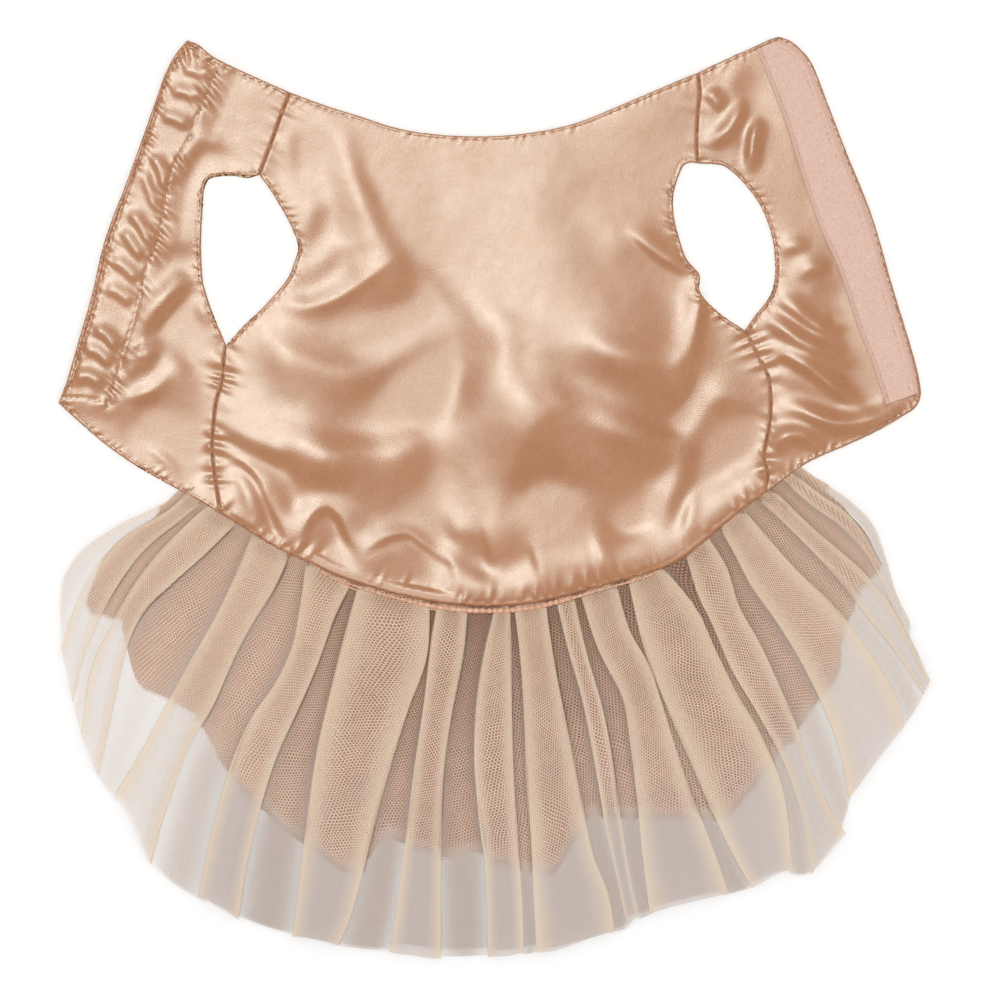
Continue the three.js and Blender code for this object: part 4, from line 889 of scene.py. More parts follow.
# ------------------------------------------------------------------- skirts
# Pleats, each by its left and right edge from the waist to the sheer hem, the
# cloth turned under at each side (mm) and its height (mm).
SIDE_LEFT = [(180, 488), (166, 501), (120, 524), (81, 551), (63, 579), (60, 606)]
SIDE_RIGHT = [(803, 468), (827, 485), (850, 501), (872, 524), (886, 560), (898, 599), (910, 622)]
PLEATS = [
    ("p0", [(186, 494), (170, 509), (126, 535), (92, 572), (70, 618), (61, 650)], [(203, 502), (180, 521), (142, 553), (108, 602), (84, 655), (72, 706)], 1.0, 2.5, 3.2),
    ("p1", [(208, 505), (184, 527), (150, 563), (118, 612), (92, 668), (80, 738)], [(238, 522), (204, 556), (172, 584), (146, 610), (130, 640), (114, 705), (98, 780)], 2.0, 7.0, 5.6),
    ("p2", [(252, 534), (233, 580), (207, 633), (183, 673), (163, 710), (130, 770), (113, 797)], [(291, 553), (272, 593), (255, 620), (237, 653), (210, 713), (193, 740), (177, 780), (160, 830), (150, 868)], 5.0, 5.5, 6.2),
    ("p3", [(306, 562), (300, 607), (293, 643), (277, 680), (250, 720), (230, 767), (212, 830), (197, 901)], [(352, 583), (337, 613), (317, 667), (297, 713), (277, 757), (263, 800), (248, 860), (238, 921)], 5.5, 5.0, 6.6),
    ("p4", [(358, 585), (334, 675), (316, 755), (304, 840), (297, 900), (292, 939)], [(430, 603), (427, 657), (407, 713), (383, 793), (364, 870), (350, 920), (338, 947)], 6.0, 6.5, 7.6),
    ("p5", [(437, 604), (431, 640), (424, 700), (414, 770), (404, 850), (395, 920), (389, 953)], [(468, 606), (464, 653), (453, 707), (445, 760), (442, 830), (441, 900), (441, 961)], 3.0, 4.5, 5.2),
    ("p6", [(495, 607), (484, 655), (476, 710), (474, 760), (478, 812), (485, 870), (488, 959)], [(510, 607), (511, 655), (512, 715), (514, 780), (518, 840), (522, 900), (524, 957)], 5.0, 1.6, 7.0),
    ("p7", [(514, 606), (520, 655), (524, 715), (527, 780), (531, 840), (534, 900), (537, 955)], [(546, 602), (555, 663), (571, 744), (582, 801), (594, 856), (608, 892), (616, 935)], 1.4, 6.0, 7.4),
    ("p8", [(556, 600), (568, 650), (582, 700), (594, 760), (604, 820), (617, 880), (628, 929)], [(574, 596), (586, 650), (602, 705), (613, 760), (621, 820), (631, 880), (640, 921)], 2.2, 2.0, 4.2),
    ("p9", [(580, 593), (597, 647), (623, 700), (630, 740), (637, 800), (643, 860), (650, 916)], [(617, 584), (630, 630), (650, 667), (674, 744), (690, 790), (712, 845), (730, 897)], 4.5, 5.5, 6.8),
    ("p10", [(628, 580), (642, 640), (664, 700), (690, 760), (714, 815), (736, 860), (752, 889)], [(664, 568), (697, 610), (717, 653), (740, 700), (757, 727), (783, 790), (793, 874)], 3.0, 3.0, 5.4),
    ("p11", [(686, 556), (697, 593), (713, 627), (730, 667), (757, 713), (787, 770), (805, 830), (811, 877)], [(709, 538), (727, 567), (740, 607), (760, 643), (777, 680), (797, 727), (810, 767), (829, 807), (846, 834)], 5.0, 5.5, 7.0),
    ("p12", [(720, 529), (735, 556), (750, 585), (775, 620), (800, 660), (820, 700), (838, 745), (850, 803)], [(744, 510), (770, 540), (800, 573), (830, 601), (855, 631), (880, 667), (898, 702), (904, 729)], 3.0, 4.0, 5.6),
    ("p13", [(757, 499), (790, 530), (820, 560), (846, 588), (869, 619), (894, 650), (924, 696)], [(774, 490), (807, 522), (840, 551), (868, 577), (890, 604), (907, 634), (931, 684)], 4.0, 4.0, 5.0),
    ("p14", [(784, 482), (812, 506), (840, 526), (862, 548), (880, 578), (900, 622), (911, 641)], [(795, 474), (820, 494), (846, 513), (866, 537), (883, 568), (902, 608), (912, 630)], 1.2, 1.2, 2.6),
]

NET_HEM = [(170, 492), (150, 520), (100, 560), (84, 606), (90, 618), (106, 621), (120, 622), (128, 652), (134, 687), (150, 696), (166, 701), (191, 716), (212, 751), (230, 785), (254, 808), (290, 841), (317, 859), (342, 875), (360, 879), (372, 856), (384, 838), (409, 852), (448, 866), (475, 859), (497, 868), (521, 875), (538, 879), (555, 877), (572, 848), (589, 822), (612, 821), (635, 822), (690, 823), (730, 822), (750, 796), (775, 765), (799, 735), (820, 706), (838, 682), (842, 664), (842, 648), (859, 604), (863, 590), (875, 579), (884, 566), (868, 540), (820, 500), (800, 460)]
NET_REGION = np.array(NET_HEM + [(700, 440), (480, 520), (250, 460)], float)

ROWS = 66


def skirt_columns():
    """Control columns across the skirt, each row a point (plan x, plan y, z mm), a fold weight, a thinness and a valley
    weight.
    """
    t = np.linspace(0, 1, ROWS) ** 1.12

    def along(points, back=11.0):
        P = np.array(points, float)
        d = P[0] - P[1]; d /= np.linalg.norm(d) + 1e-9
        C = curve(np.vstack([P[0] + d * back, P]), 1.0)
        return resample_at(C, t)

    def resample_at(C, t):
        s = np.r_[0, np.cumsum(np.linalg.norm(np.diff(C, axis=0), axis=1))]
        return np.stack([np.interp(t * s[-1], s, C[:, k]) for k in (0, 1)], 1), t * s[-1]

    cols = []

    def add(xy, z, fold, thin=1.0, valley=0.0):
        cols.append((xy[:, 0], xy[:, 1], z, np.broadcast_to(fold, z.shape), np.broadcast_to(thin, z.shape), np.broadcast_to(valley, z.shape)))

    left, ls = along(SIDE_LEFT); right, rs = along(SIDE_RIGHT)
    low = 2.3
    ends = []
    for name, L, R, oL, oR, h in PLEATS:
        l, s1 = along(L); r, s2 = along(R)
        ends.append((l, r, (s1 + s2) / 2, oL, oR, h))

    def ramp(s):
        return smooth((s - 11.5) / 15.0)

    def base(s):
        return 1.75 + (low - 1.75) * smooth((s - 10.0) / 10.0)

    add(left, base(ls) - 0.2, 0.6)
    prev = left
    for k, (l, r, s, oL, oR, h) in enumerate(ends):
        w = np.linalg.norm(r - l, axis=1)
        d = (r - l) / (w[:, None] + 1e-9)
        up = ramp(s) * (1 - 0.66 * smooth(t / 0.85))
        turn = (1 - 0.40 * t) * (0.55 + 0.45 * ramp(s + 6)) * (1 + 0.18 * wobble(320 + k)(t * 6.0))
        a = np.minimum(oL * 2 * turn, 0.40 * w); b = np.minimum(oR * 2 * turn, 0.40 * w)
        wav = 0.5 * wobble(200 + k)(t * 5.0)
        gap = np.linalg.norm(l - prev, axis=1)
        mid = (l + prev) / 2
        z0 = base(s)
        add(mid, z0 + up * 0.4 * wobble(230 + k)(t * 4.0), 0.0, 1.0, 1.0)
        add(l + d * a[:, None], z0 + up * 0.55, 0.0, 0.12, 0.8)
        add(l + d * a[:, None] * 0.55, z0 + up * h * 0.26, 0.2, 0.25, 0.3)
        add(l, z0 + up * h * 0.50, 1.0, 1.0, 0.1)
        add(l + d * (0.14 * w + 1.2)[:, None], z0 + up * (h * 0.84 + wav * 0.3), 0.6)
        add(l + d * (0.36 * w)[:, None], z0 + up * (h * (0.93 + 0.07 * wobble(260 + k)(t * 3.0)) + wav), 0.0)
        add(l + d * (0.64 * w)[:, None], z0 + up * (h * (0.95 + 0.07 * wobble(290 + k)(t * 3.0)) + wav), 0.0)
        add(r - d * (0.14 * w + 1.2)[:, None], z0 + up * (h * 0.84 + wav * 0.3), 0.6)
        add(r, z0 + up * h * 0.50, 1.0, 1.0, 0.1)
        add(r - d * b[:, None] * 0.55, z0 + up * h * 0.26, 0.2, 0.25, 0.3)
        add(r - d * b[:, None], z0 + up * 0.55, 0.0, 0.12, 0.8)
        prev = r
    add((prev + right) / 2, base(rs), 0.0, 1.0, 0.5)
    add(right, base(rs) - 0.2, 0.6)
    C = np.stack([np.stack(c, -1) for c in cols], 1)     # rows x controls x 6
    return C, t


def spline_across(C, per):
    """Smooth interpolation across the controls of each row."""
    n = C.shape[1]
    Q = np.concatenate([2 * C[:, :1] - C[:, 1:2], C, 2 * C[:, -1:] - C[:, -2:-1]], 1)
    out = []
    for i in range(1, n):
        a, b, c, d = Q[:, i - 1], Q[:, i], Q[:, i + 1], Q[:, i + 2]
        for k in range(per):
            u = k / per
            out.append(0.5 * ((2 * b) + (-a + c) * u * 0.92 + (2 * a - 5 * b + 4 * c - d) * u * u + (-a + 3 * b - 3 * c + d) * u ** 3))
    out.append(C[:, -1])
    return np.stack(out, 1)


CONTROL, T_ROW = skirt_columns()
PER = 4
SURF = spline_across(CONTROL, PER)
sx, sy = to_m(SURF[..., 0], SURF[..., 1])
BASE = np.stack([sx, sy, np.maximum(SURF[..., 2], 0.6) * MM], -1)
FOLD = np.clip(SURF[..., 3], 0, 1)
THIN = np.clip(SURF[..., 4], 0.1, 1)
VALLEY = np.clip(SURF[..., 5], 0, 1)
HIDDEN = smooth((np.arange(ROWS) / (ROWS - 1.0)) ** 1.12 * 300 / 14 - 0.55)[:, None]     # 0 where the waist covers the cloth
# a soft crumple over the whole cloth
rng = np.random.default_rng(21)
noise = soften(rng.standard_normal(BASE.shape[:2]), 3.0); noise /= noise.std()
noise2 = soften(rng.standard_normal(BASE.shape[:2]), 8.0); noise2 /= noise2.std()
away = smooth((T_ROW - 0.05) / 0.15)[:, None]
BASE[..., 2] += (0.10 * noise + 0.22 * noise2) * away * MM
BASE[..., 2] = np.maximum(BASE[..., 2], 0.0007)


def sheet_normals(S):
    du = np.gradient(S, axis=1); dv = np.gradient(S, axis=0)
    N = np.cross(dv, du)
    N /= np.linalg.norm(N, axis=-1, keepdims=True) + 1e-15
    for _ in range(3):
        N[:, 1:-1] = (N[:, 1:-1] * 2 + N[:, :-2] + N[:, 2:]) / 4
    return N / (np.linalg.norm(N, axis=-1, keepdims=True) + 1e-12)


NORMAL = sheet_normals(BASE)
if np.median(NORMAL[..., 2]) < 0:
    NORMAL = -NORMAL

# cloth coordinates in mm: across by arc length averaged down the skirt
step = np.linalg.norm(np.diff(BASE, axis=1), axis=-1)
across = np.concatenate([[0], np.cumsum(step[int(ROWS * 0.35):].mean(0))]) / MM
down = np.concatenate([np.zeros((1, BASE.shape[1])), np.cumsum(np.linalg.norm(np.diff(BASE, axis=0), axis=-1), 0)]) / MM
down_even = down.mean(1)


def ply(name, drop, limit, floor_gap, seed, sway=0.0):
    """One layer of the skirts, drop metres inside the first, cut at limit (0..1 for each column)."""
    n = BASE.shape[1]
    lim = np.asarray(limit, float)
    f = np.linspace(0, 1, ROWS)
    rows_at = lim[None, :] * f[:, None] * (ROWS - 1)
    i = np.clip(np.floor(rows_at).astype(int), 0, ROWS - 2); a = rows_at - i
    col = np.arange(n)[None, :]

    def pick(G):
        if G.ndim == 2:
            return G[i, col] * (1 - a) + G[i + 1, col] * a
        return G[i, col] * (1 - a)[..., None] + G[i + 1, col] * a[..., None]

    facing = pick(NORMAL)
    gap = drop * (0.17 + 0.83 * pick(np.broadcast_to(HIDDEN, BASE.shape[:2]))) * (0.12 + 0.88 * smooth((facing[..., 2] - 0.05) / 0.7))
    S = pick(BASE) - facing * gap[..., None]
    if sway:
        g = np.random.default_rng(seed)
        m = soften(g.standard_normal(S.shape[:2]), 6.0); m /= m.std()
        S[..., 2] += sway * m * smooth(f[:, None] / 0.2)
        S[..., 0] += 2.0 * sway * np.roll(m, 9, 1) * smooth(f[:, None] / 0.2)
    S[..., 2] = np.maximum(S[..., 2], floor_gap)
    cloth = np.stack([np.broadcast_to(across[None, :], S.shape[:2]), pick(down * 0 + down_even[:, None]), np.zeros(S.shape[:2])], -1)
    V = S.reshape(-1, 3)
    k = np.arange((ROWS - 1) * n).reshape(ROWS - 1, n)[:, :-1].ravel()
    Q = np.stack([k, k + n, k + n + 1, k + 1], 1)
    p = V[Q[len(Q) // 2]]
    if np.cross(p[1] - p[0], p[2] - p[0])[2] < 0:
        Q = Q[:, ::-1]
    ob = mesh_object(name, V, Q)
    vector_attribute(ob, "cloth", cloth.reshape(-1, 3))
    attribute(ob, "fold", pick(FOLD).ravel())
    attribute(ob, "thin", pick(THIN).ravel())
    attribute(ob, "crowd", np.broadcast_to(CROWD[None, :], S.shape[:2]).ravel())
    attribute(ob, "past", smooth((rows_at / (ROWS - 1) - net_limit[None, :] + 0.045) / 0.045).ravel())
    attribute(ob, "valley", (pick(VALLEY) * (1 - 0.6 * SIDE[None, :])).ravel())
    attribute(ob, "side", np.broadcast_to(SIDE[None, :], S.shape[:2]).ravel())
    attribute(ob, "fall", (rows_at / (ROWS - 1)).ravel())
    height = S[..., 2] / MM
    attribute(ob, "high", height.ravel())
    uv = ob.data.uv_layers.new(name="OFBake")
    uvs = np.stack([np.broadcast_to(across[None, :] / across[-1], S.shape[:2]), np.broadcast_to(f[:, None], S.shape[:2])], -1).reshape(-1, 2)
    idx = np.empty(len(ob.data.loops), np.int32); ob.data.loops.foreach_get("vertex_index", idx)
    uv.data.foreach_set("uv", (uvs[idx] * 0.98 + 0.01).astype(np.float32).ravel())
    tri = S
    e1 = tri[1:, :-1] - tri[:-1, :-1]; e2 = tri[:-1, 1:] - tri[:-1, :-1]
    area = float(np.linalg.norm(np.cross(e1, e2), axis=-1).sum())
    made[name] = ob
    return ob, area


# the lighter columns at the two sides
SIDE = np.maximum(smooth((330 - SURF[-1, :, 0]) / 180.0), 0.7 * smooth((SURF[-1, :, 0] - 800) / 90.0))
# where more plies of the tulle lie on each other: all of the middle, few at the two sides
CROWD = (0.25 + 0.75 * smooth((SURF[-1, :, 0] - 95) / 150.0)) * (0.6 + 0.4 * smooth((900 - SURF[-1, :, 0]) / 200.0))
n_cols = BASE.shape[1]
# where each column leaves the net's outline
net_limit = np.zeros(n_cols)
plan_x = SURF[..., 0]; plan_y = SURF[..., 1]
ins = inside(plan_x, plan_y, NET_REGION)
for c in range(n_cols):
    hit = np.nonzero(ins[:, c])[0]
    net_limit[c] = (hit.max() / (ROWS - 1)) if len(hit) else 0.3
net_limit = np.clip(net_limit, 0.25, 0.97)
kernel = np.array([1, 2, 1]) / 4.0
net_limit = np.convolve(np.pad(net_limit, 1, mode="edge"), kernel, "valid")
j = wobble(31)(np.arange(n_cols) * 0.10)
sheer_limit = 0.992 + 0.008 * j
sheer2_limit = np.clip(0.985 + 0.015 * wobble(33)(np.arange(n_cols) * 0.045), 0.85, 1.0)

sheer_a, area_sa = ply("sheer_skirt_top", 0.0, np.clip(sheer_limit, 0, 1), 0.0010, 2)
sheer_b, area_sb = ply("sheer_skirt_under", 0.00045, sheer2_limit, 0.0008, 4, 0.00018)
net_a, area_na = ply("net_skirt_top", 0.0010, net_limit, 0.0005, 3, 0.00010)
net_b, area_nb = ply("net_skirt_under", 0.0015, np.clip(net_limit - 0.006 + 0.006 * wobble(35)(np.arange(n_cols) * 0.05), 0.2, 0.97), 0.0003, 5, 0.00012)


# ---------------------------------------------------------------- materials
def srgb(r, g, b):
    def f(c):
        c /= 255.0
        return c / 12.92 if c <= 0.04045 else ((c + 0.055) / 1.055) ** 2.4
    return (f(r), f(g), f(b), 1.0)


class Nodes:
    def __init__(self, name):
        self.mat = bpy.data.materials.new(name)
        self.mat.use_nodes = True
        self.t = self.mat.node_tree
        self.t.nodes.clear()
        self.out = self.t.nodes.new("ShaderNodeOutputMaterial")
        self.p = self.t.nodes.new("ShaderNodeBsdfPrincipled")
        self.t.links.new(self.p.outputs[0], self.out.inputs[0])

    def new(self, kind, **props):
        n = self.t.nodes.new(kind)
        for k, v in props.items():
            setattr(n, k, v)
        return n

    def link(self, a, b):
        self.t.links.new(a, b)

    def put(self, socket, v):
        if hasattr(v, "is_output") or isinstance(v, bpy.types.NodeSocket):
            self.link(v, socket)
        else:
            socket.default_value = v

    def math(self, op, a, b=0.0, c=0.0, clamp=False):
        n = self.new("ShaderNodeMath", operation=op, use_clamp=clamp)
        for s, v in zip(n.inputs, (a, b, c)):
            self.put(s, v)
        return n.outputs[0]

    def vmath(self, op, a, b=(0, 0, 0), c=(0, 0, 0), scale=None, value=False):
        n = self.new("ShaderNodeVectorMath", operation=op)
        self.put(n.inputs[0], a)
        if len(n.inputs) > 1:
            self.put(n.inputs[1], b)
        if op in ("WRAP", "MULTIPLY_ADD"):
            self.put(n.inputs[2], c)
        if scale is not None:
            n.inputs["Scale"].default_value = scale
        return n.outputs["Value"] if value else n.outputs[0]

    def coords(self):
        return self.new("ShaderNodeTexCoord").outputs["Object"]

    def attr(self, name, out="Fac"):
        return self.new("ShaderNodeAttribute", attribute_name=name).outputs[out]

    def noise(self, vec, scale, detail=2.0, rough=0.5, dist=0.0, color=False):
        n = self.new("ShaderNodeTexNoise")
        self.link(vec, n.inputs["Vector"])
        n.inputs["Scale"].default_value = scale
        n.inputs["Detail"].default_value = detail
        n.inputs["Roughness"].default_value = rough
        n.inputs["Distortion"].default_value = dist
        return n.outputs["Color" if color else 0]

    def ramp(self, fac, stops):
        n = self.new("ShaderNodeValToRGB")
        e = n.color_ramp.elements
        while len(e) < len(stops):
            e.new(0.5)
        for el, (pos, col) in zip(e, stops):
            el.position = pos; el.color = col
        self.link(fac, n.inputs[0])
        return n.outputs[0]

    def mix(self, fac, a, b, mode="MIX"):
        n = self.new("ShaderNodeMix", data_type="RGBA", blend_type=mode)
        self.put(n.inputs[0], fac)
        self.put(n.inputs[6], a)
        self.put(n.inputs[7], b)
        return n.outputs[2]

    def bump(self, height, strength, distance, normal=None):
        n = self.new("ShaderNodeBump")
        n.inputs["Strength"].default_value = strength
        n.inputs["Distance"].default_value = distance
        self.link(height, n.inputs["Height"])
        if normal is not None:
            self.link(normal, n.inputs["Normal"])
        return n.outputs[0]

    def set(self, **values):
        for k, v in values.items():
            self.put(self.p.inputs[k.replace("_", " ")], v)


def satin():
    m = Nodes("satin_rose")
    c = m.coords()
    wide = m.noise(c, 22, 3, 0.5)
    mid = m.noise(c, 160, 3, 0.6)
    fine = m.noise(c, 1500, 2, 0.6)
    base = m.ramp(wide, [(0.3, srgb(161, 108, 72)), (0.7, srgb(170, 117, 81))])
    base = m.mix(m.math("MULTIPLY", m.math("SUBTRACT", mid, 0.5), 0.5, clamp=True), base, srgb(196, 142, 106))
    base = m.mix(m.math("MULTIPLY", m.math("SUBTRACT", fine, 0.42, clamp=True), 0.9, clamp=True), base, srgb(206, 156, 122))
    edge = m.attr("edge")
    base = m.mix(m.math("MULTIPLY", edge, 0.06), base, srgb(160, 100, 66))
    # faint lines of the weave
    w = m.new("ShaderNodeTexWave", wave_type="BANDS", bands_direction="DIAGONAL")
    m.link(c, w.inputs["Vector"]); w.inputs["Scale"].default_value = 700; w.inputs["Distortion"].default_value = 1.5
    w.inputs["Detail"].default_value = 1.0
    n1 = m.bump(fine, 0.26, 0.00022)
    n2 = m.bump(w.outputs[1], 0.04, 0.0001, n1)
    rough = m.math("MULTIPLY_ADD", mid, 0.08, 0.23)
    m.set(Base_Color=base, Roughness=rough, Normal=n2)
    m.p.inputs["IOR"].default_value = 1.5
    m.p.inputs["Specular IOR Level"].default_value = 0.60
    m.p.inputs["Specular Tint"].default_value = (0.95, 1.0, 0.92, 1.0)
    m.p.inputs["Sheen Weight"].default_value = 0.16
    m.p.inputs["Sheen Roughness"].default_value = 0.4
    m.p.inputs["Sheen Tint"].default_value = (1.0, 0.92, 0.84, 1.0)
    return m.mat


def satin_roll():
    m = Nodes("satin_rolled_edge")
    c = m.coords()
    mid = m.noise(c, 420, 3, 0.6)
    base = m.ramp(mid, [(0.3, srgb(196, 144, 114)), (0.7, srgb(224, 182, 154))])
    m.set(Base_Color=base, Roughness=m.math("MULTIPLY_ADD", mid, 0.15, 0.36), Normal=m.bump(m.noise(c, 1900, 2), 0.3, 0.0002))
    m.p.inputs["Specular IOR Level"].default_value = 0.8
    m.p.inputs["Specular Tint"].default_value = (1.0, 0.9, 0.8, 1.0)
    return m.mat


def thread():
    m = Nodes("sewing_thread")
    c = m.coords()
    n = m.noise(c, 900, 2)
    tone = m.noise(c, 260, 1)
    base = m.ramp(tone, [(0.35, srgb(112, 64, 46)), (0.5, srgb(150, 94, 70)), (0.68, srgb(220, 174, 146))])
    w = m.new("ShaderNodeTexWave", wave_type="BANDS", bands_direction="DIAGONAL")
    m.link(c, w.inputs["Vector"]); w.inputs["Scale"].default_value = 1500
    m.set(Base_Color=base, Roughness=m.math("MULTIPLY_ADD", n, 0.2, 0.45), Normal=m.bump(w.outputs[1], 0.4, 0.00008))
    return m.mat


def tape_thread():
    m = Nodes("tape_thread")
    c = m.coords()
    tone = m.noise(c, 400, 1)
    base = m.ramp(tone, [(0.35, srgb(178, 132, 118)), (0.65, srgb(212, 172, 158))])
    m.set(Base_Color=base, Roughness=m.math("MULTIPLY_ADD", tone, 0.1, 0.55), Normal=m.bump(m.noise(c, 1800, 1), 0.3, 0.00008))
    return m.mat


def glitter():
    m = Nodes("glitter_cloth")
    c = m.coords()
    v = m.new("ShaderNodeTexVoronoi"); m.link(c, v.inputs["Vector"]); v.inputs["Scale"].default_value = 1250
    v.inputs["Randomness"].default_value = 1.0
    pick = m.new("ShaderNodeSeparateColor"); m.link(v.outputs["Color"], pick.inputs[0])
    tone = m.ramp(pick.outputs[0], [(0.0, srgb(34, 24, 20)), (0.30, srgb(74, 52, 40)), (0.52, srgb(150, 108, 74)), (0.78, srgb(206, 160, 112)), (0.93, srgb(240, 214, 170))])
    metal = m.math("GREATER_THAN", pick.outputs[1], 0.45)
    tilt = m.vmath("SUBTRACT", v.outputs["Color"], (0.5, 0.5, 0.5))
    geo = m.new("ShaderNodeNewGeometry")
    nrm = m.vmath("NORMALIZE", m.vmath("ADD", geo.outputs["Normal"], m.vmath("SCALE", tilt, scale=0.7)))
    bump = m.bump(v.outputs["Distance"], 0.5, 0.0002, nrm)
    m.set(Base_Color=tone, Metallic=m.math("MULTIPLY", metal, 0.9), Roughness=m.math("MULTIPLY_ADD", pick.outputs[2], 0.3, 0.2), Normal=bump)
    return m.mat


def loop_cloth():
    m = Nodes("loop_tape_pile")
    c = m.coords()
    t = m.attr("tape", "Vector")
    sep = m.new("ShaderNodeSeparateXYZ"); m.link(t, sep.inputs[0])
    e = m.math("MINIMUM", sep.outputs[1], sep.outputs[2])
    rim = m.math("SMOOTH_MIN", m.math("MULTIPLY", m.math("SUBTRACT", 2.7, e), 1.6, clamp=True), 1.0, 0.1, clamp=True)
    rib = m.math("SINE", m.math("MULTIPLY", sep.outputs[0], 2 * math.pi / 0.95))
    rib = m.math("MULTIPLY_ADD", rib, 0.5, 0.5)
    fuzz = m.noise(c, 1150, 4, 0.75, 0.6)
    clump = m.noise(c, 330, 3, 0.6)
    pile = m.ramp(fuzz, [(0.28, srgb(200, 162, 147)), (0.5, srgb(221, 188, 172)), (0.74, srgb(236, 210, 196))])
    twill = m.math("SINE", m.math("MULTIPLY", m.math("ADD", sep.outputs[0], m.math("MULTIPLY", sep.outputs[1], 0.55)), 2 * math.pi / 1.5))
    pile = m.mix(m.math("MULTIPLY", m.math("MULTIPLY_ADD", twill, 0.5, 0.5), 0.20), pile, srgb(190, 148, 134))
    pile = m.mix(m.math("MULTIPLY", m.math("SUBTRACT", clump, 0.35, clamp=True), 0.25), pile, srgb(232, 198, 184))
    sel = m.mix(m.math("MULTIPLY", rib, 0.75), srgb(196, 154, 138), srgb(238, 208, 192))
    base = m.mix(rim, pile, sel)
    hgt = m.math("ADD", m.math("MULTIPLY", m.math("SUBTRACT", 1.0, rim), fuzz), m.math("MULTIPLY", rim, m.math("MULTIPLY", rib, 0.6)))
    m.set(Base_Color=base, Roughness=m.math("MULTIPLY_ADD", fuzz, 0.1, 0.82), Normal=m.bump(hgt, 0.75, 0.0004))
    m.p.inputs["Specular IOR Level"].default_value = 0.15
    m.p.inputs["Sheen Weight"].default_value = 0.35
    m.p.inputs["Sheen Roughness"].default_value = 0.5
    m.p.inputs["Sheen Tint"].default_value = (1.0, 0.9, 0.85, 1.0)
    return m.mat


def hook_cloth():
    m = Nodes("hook_tape_field")
    c = m.coords()
    v = m.new("ShaderNodeTexVoronoi"); m.link(c, v.inputs["Vector"]); v.inputs["Scale"].default_value = 700; v.inputs["Randomness"].default_value = 0.35
    base = m.ramp(v.outputs["Distance"], [(0.1, srgb(222, 184, 166)), (0.5, srgb(186, 142, 124))])
    m.set(Base_Color=base, Roughness=m.math("MULTIPLY_ADD", m.noise(c, 600), 0.2, 0.5), Normal=m.bump(v.outputs["Distance"], 0.8, 0.0005))
    return m.mat


def hex_mask(m, vec_mm, pitch, thread_part):
    """1 on the threads of a hexagon net, 0 in its holes."""
    p = m.vmath("SCALE", vec_mm, scale=1.0 / pitch)
    s = (1.0, 1.7320508, 1.0)
    half = (0.5, 0.8660254, 0.5)
    a = m.vmath("SUBTRACT", m.vmath("MODULO", m.vmath("ADD", p, (1000.0, 1732.0508, 0)), s), half)
    b = m.vmath("SUBTRACT", m.vmath("MODULO", m.vmath("ADD", p, (1000.5, 1732.0508 + 0.8660254, 0)), s), half)
    flat = (1.0, 1.0, 0.0)
    a = m.vmath("MULTIPLY", a, flat); b = m.vmath("MULTIPLY", b, flat)
    da = m.vmath("LENGTH", a, value=True); db = m.vmath("LENGTH", b, value=True)
    take = m.math("LESS_THAN", db, da)
    mixn = m.new("ShaderNodeMix", data_type="VECTOR")
    m.link(take, mixn.inputs[0]); m.link(a, mixn.inputs[4]); m.link(b, mixn.inputs[5])
    q = m.vmath("ABSOLUTE", mixn.outputs[1])
    sep = m.new("ShaderNodeSeparateXYZ"); m.link(q, sep.inputs[0])
    slant = m.math("ADD", m.math("MULTIPLY", sep.outputs[0], 0.5), m.math("MULTIPLY", sep.outputs[1], 0.8660254))
    d = m.math("MAXIMUM", sep.outputs[0], slant)
    lo = 0.5 - thread_part - 0.06
    return m.math("DIVIDE", m.math("SUBTRACT", d, lo), 0.12, clamp=True), d


def lit_from_above(m, part):
    """A normal turned towards the zenith: thin cloth passes the light on through its folds."""
    g = m.new("ShaderNodeNewGeometry")
    n = m.vmath("ADD", m.vmath("SCALE", g.outputs["Normal"], scale=1.0 - part), (0.0, 0.0, part))
    return m.vmath("NORMALIZE", n)


def net(name, turn, dense, hole, tones, pitch, thread_part, rough_feel):
    m = Nodes(name)
    c = m.coords()
    t = m.attr("cloth", "Vector")
    warp = m.noise(c, 40, 1, 0.5, color=True)
    t = m.vmath("ADD", t, m.vmath("SCALE", m.vmath("SUBTRACT", warp, (0.5, 0.5, 0.5)), scale=6.0))
    mp = m.new("ShaderNodeMapping"); m.link(t, mp.inputs["Vector"]); mp.inputs["Rotation"].default_value = (0, 0, turn)
    mp.inputs["Scale"].default_value = (1.0, 1.25, 1.0)
    mask, d = hex_mask(m, mp.outputs[0], pitch, thread_part)
    tone = m.noise(c, 45, 2, 0.6)
    fall = m.attr("fall")
    valley = m.math("MULTIPLY", m.attr("valley"), m.math("SUBTRACT", 1.0, m.math("MULTIPLY", fall, 1.2), clamp=True))
    base = m.ramp(tone, [(0.3, tones[0]), (0.7, tones[1])])
    # paler along the pleat folds: partly the doubled threads' own tone, partly a painted highlight on the fold edges
    base = m.mix(m.math("MULTIPLY", m.attr("fold"), 0.4), base, tones[2])
    # darker in the pleats' valleys, most near the waist: painted shade
    base = m.mix(m.math("MULTIPLY", valley, 0.8), base, tones[3])
    base = m.mix(m.math("MULTIPLY", m.attr("side"), 0.55), base, tones[2])
    # darker just below the waist: painted shade under the bodice's edge
    waist = m.math("SUBTRACT", 1.0, m.math("MULTIPLY", fall, 7.0), clamp=True)
    base = m.mix(m.math("MULTIPLY", waist, 0.4), base, tones[3])
    m.set(Base_Color=base, Roughness=m.math("MULTIPLY_ADD", tone, 0.1, 0.7), Normal=lit_from_above(m, rough_feel))
    alpha = m.math("MULTIPLY_ADD", mask, dense - hole, hole, clamp=True)
    thin = m.math("MULTIPLY_ADD", m.attr("thin"), 0.85, 0.15)
    m.put(m.p.inputs["Alpha"], m.math("MULTIPLY", alpha, thin))
    m.p.inputs["Specular IOR Level"].default_value = 0.25
    m.p.inputs["Sheen Weight"].default_value = 0.1
    return m.mat


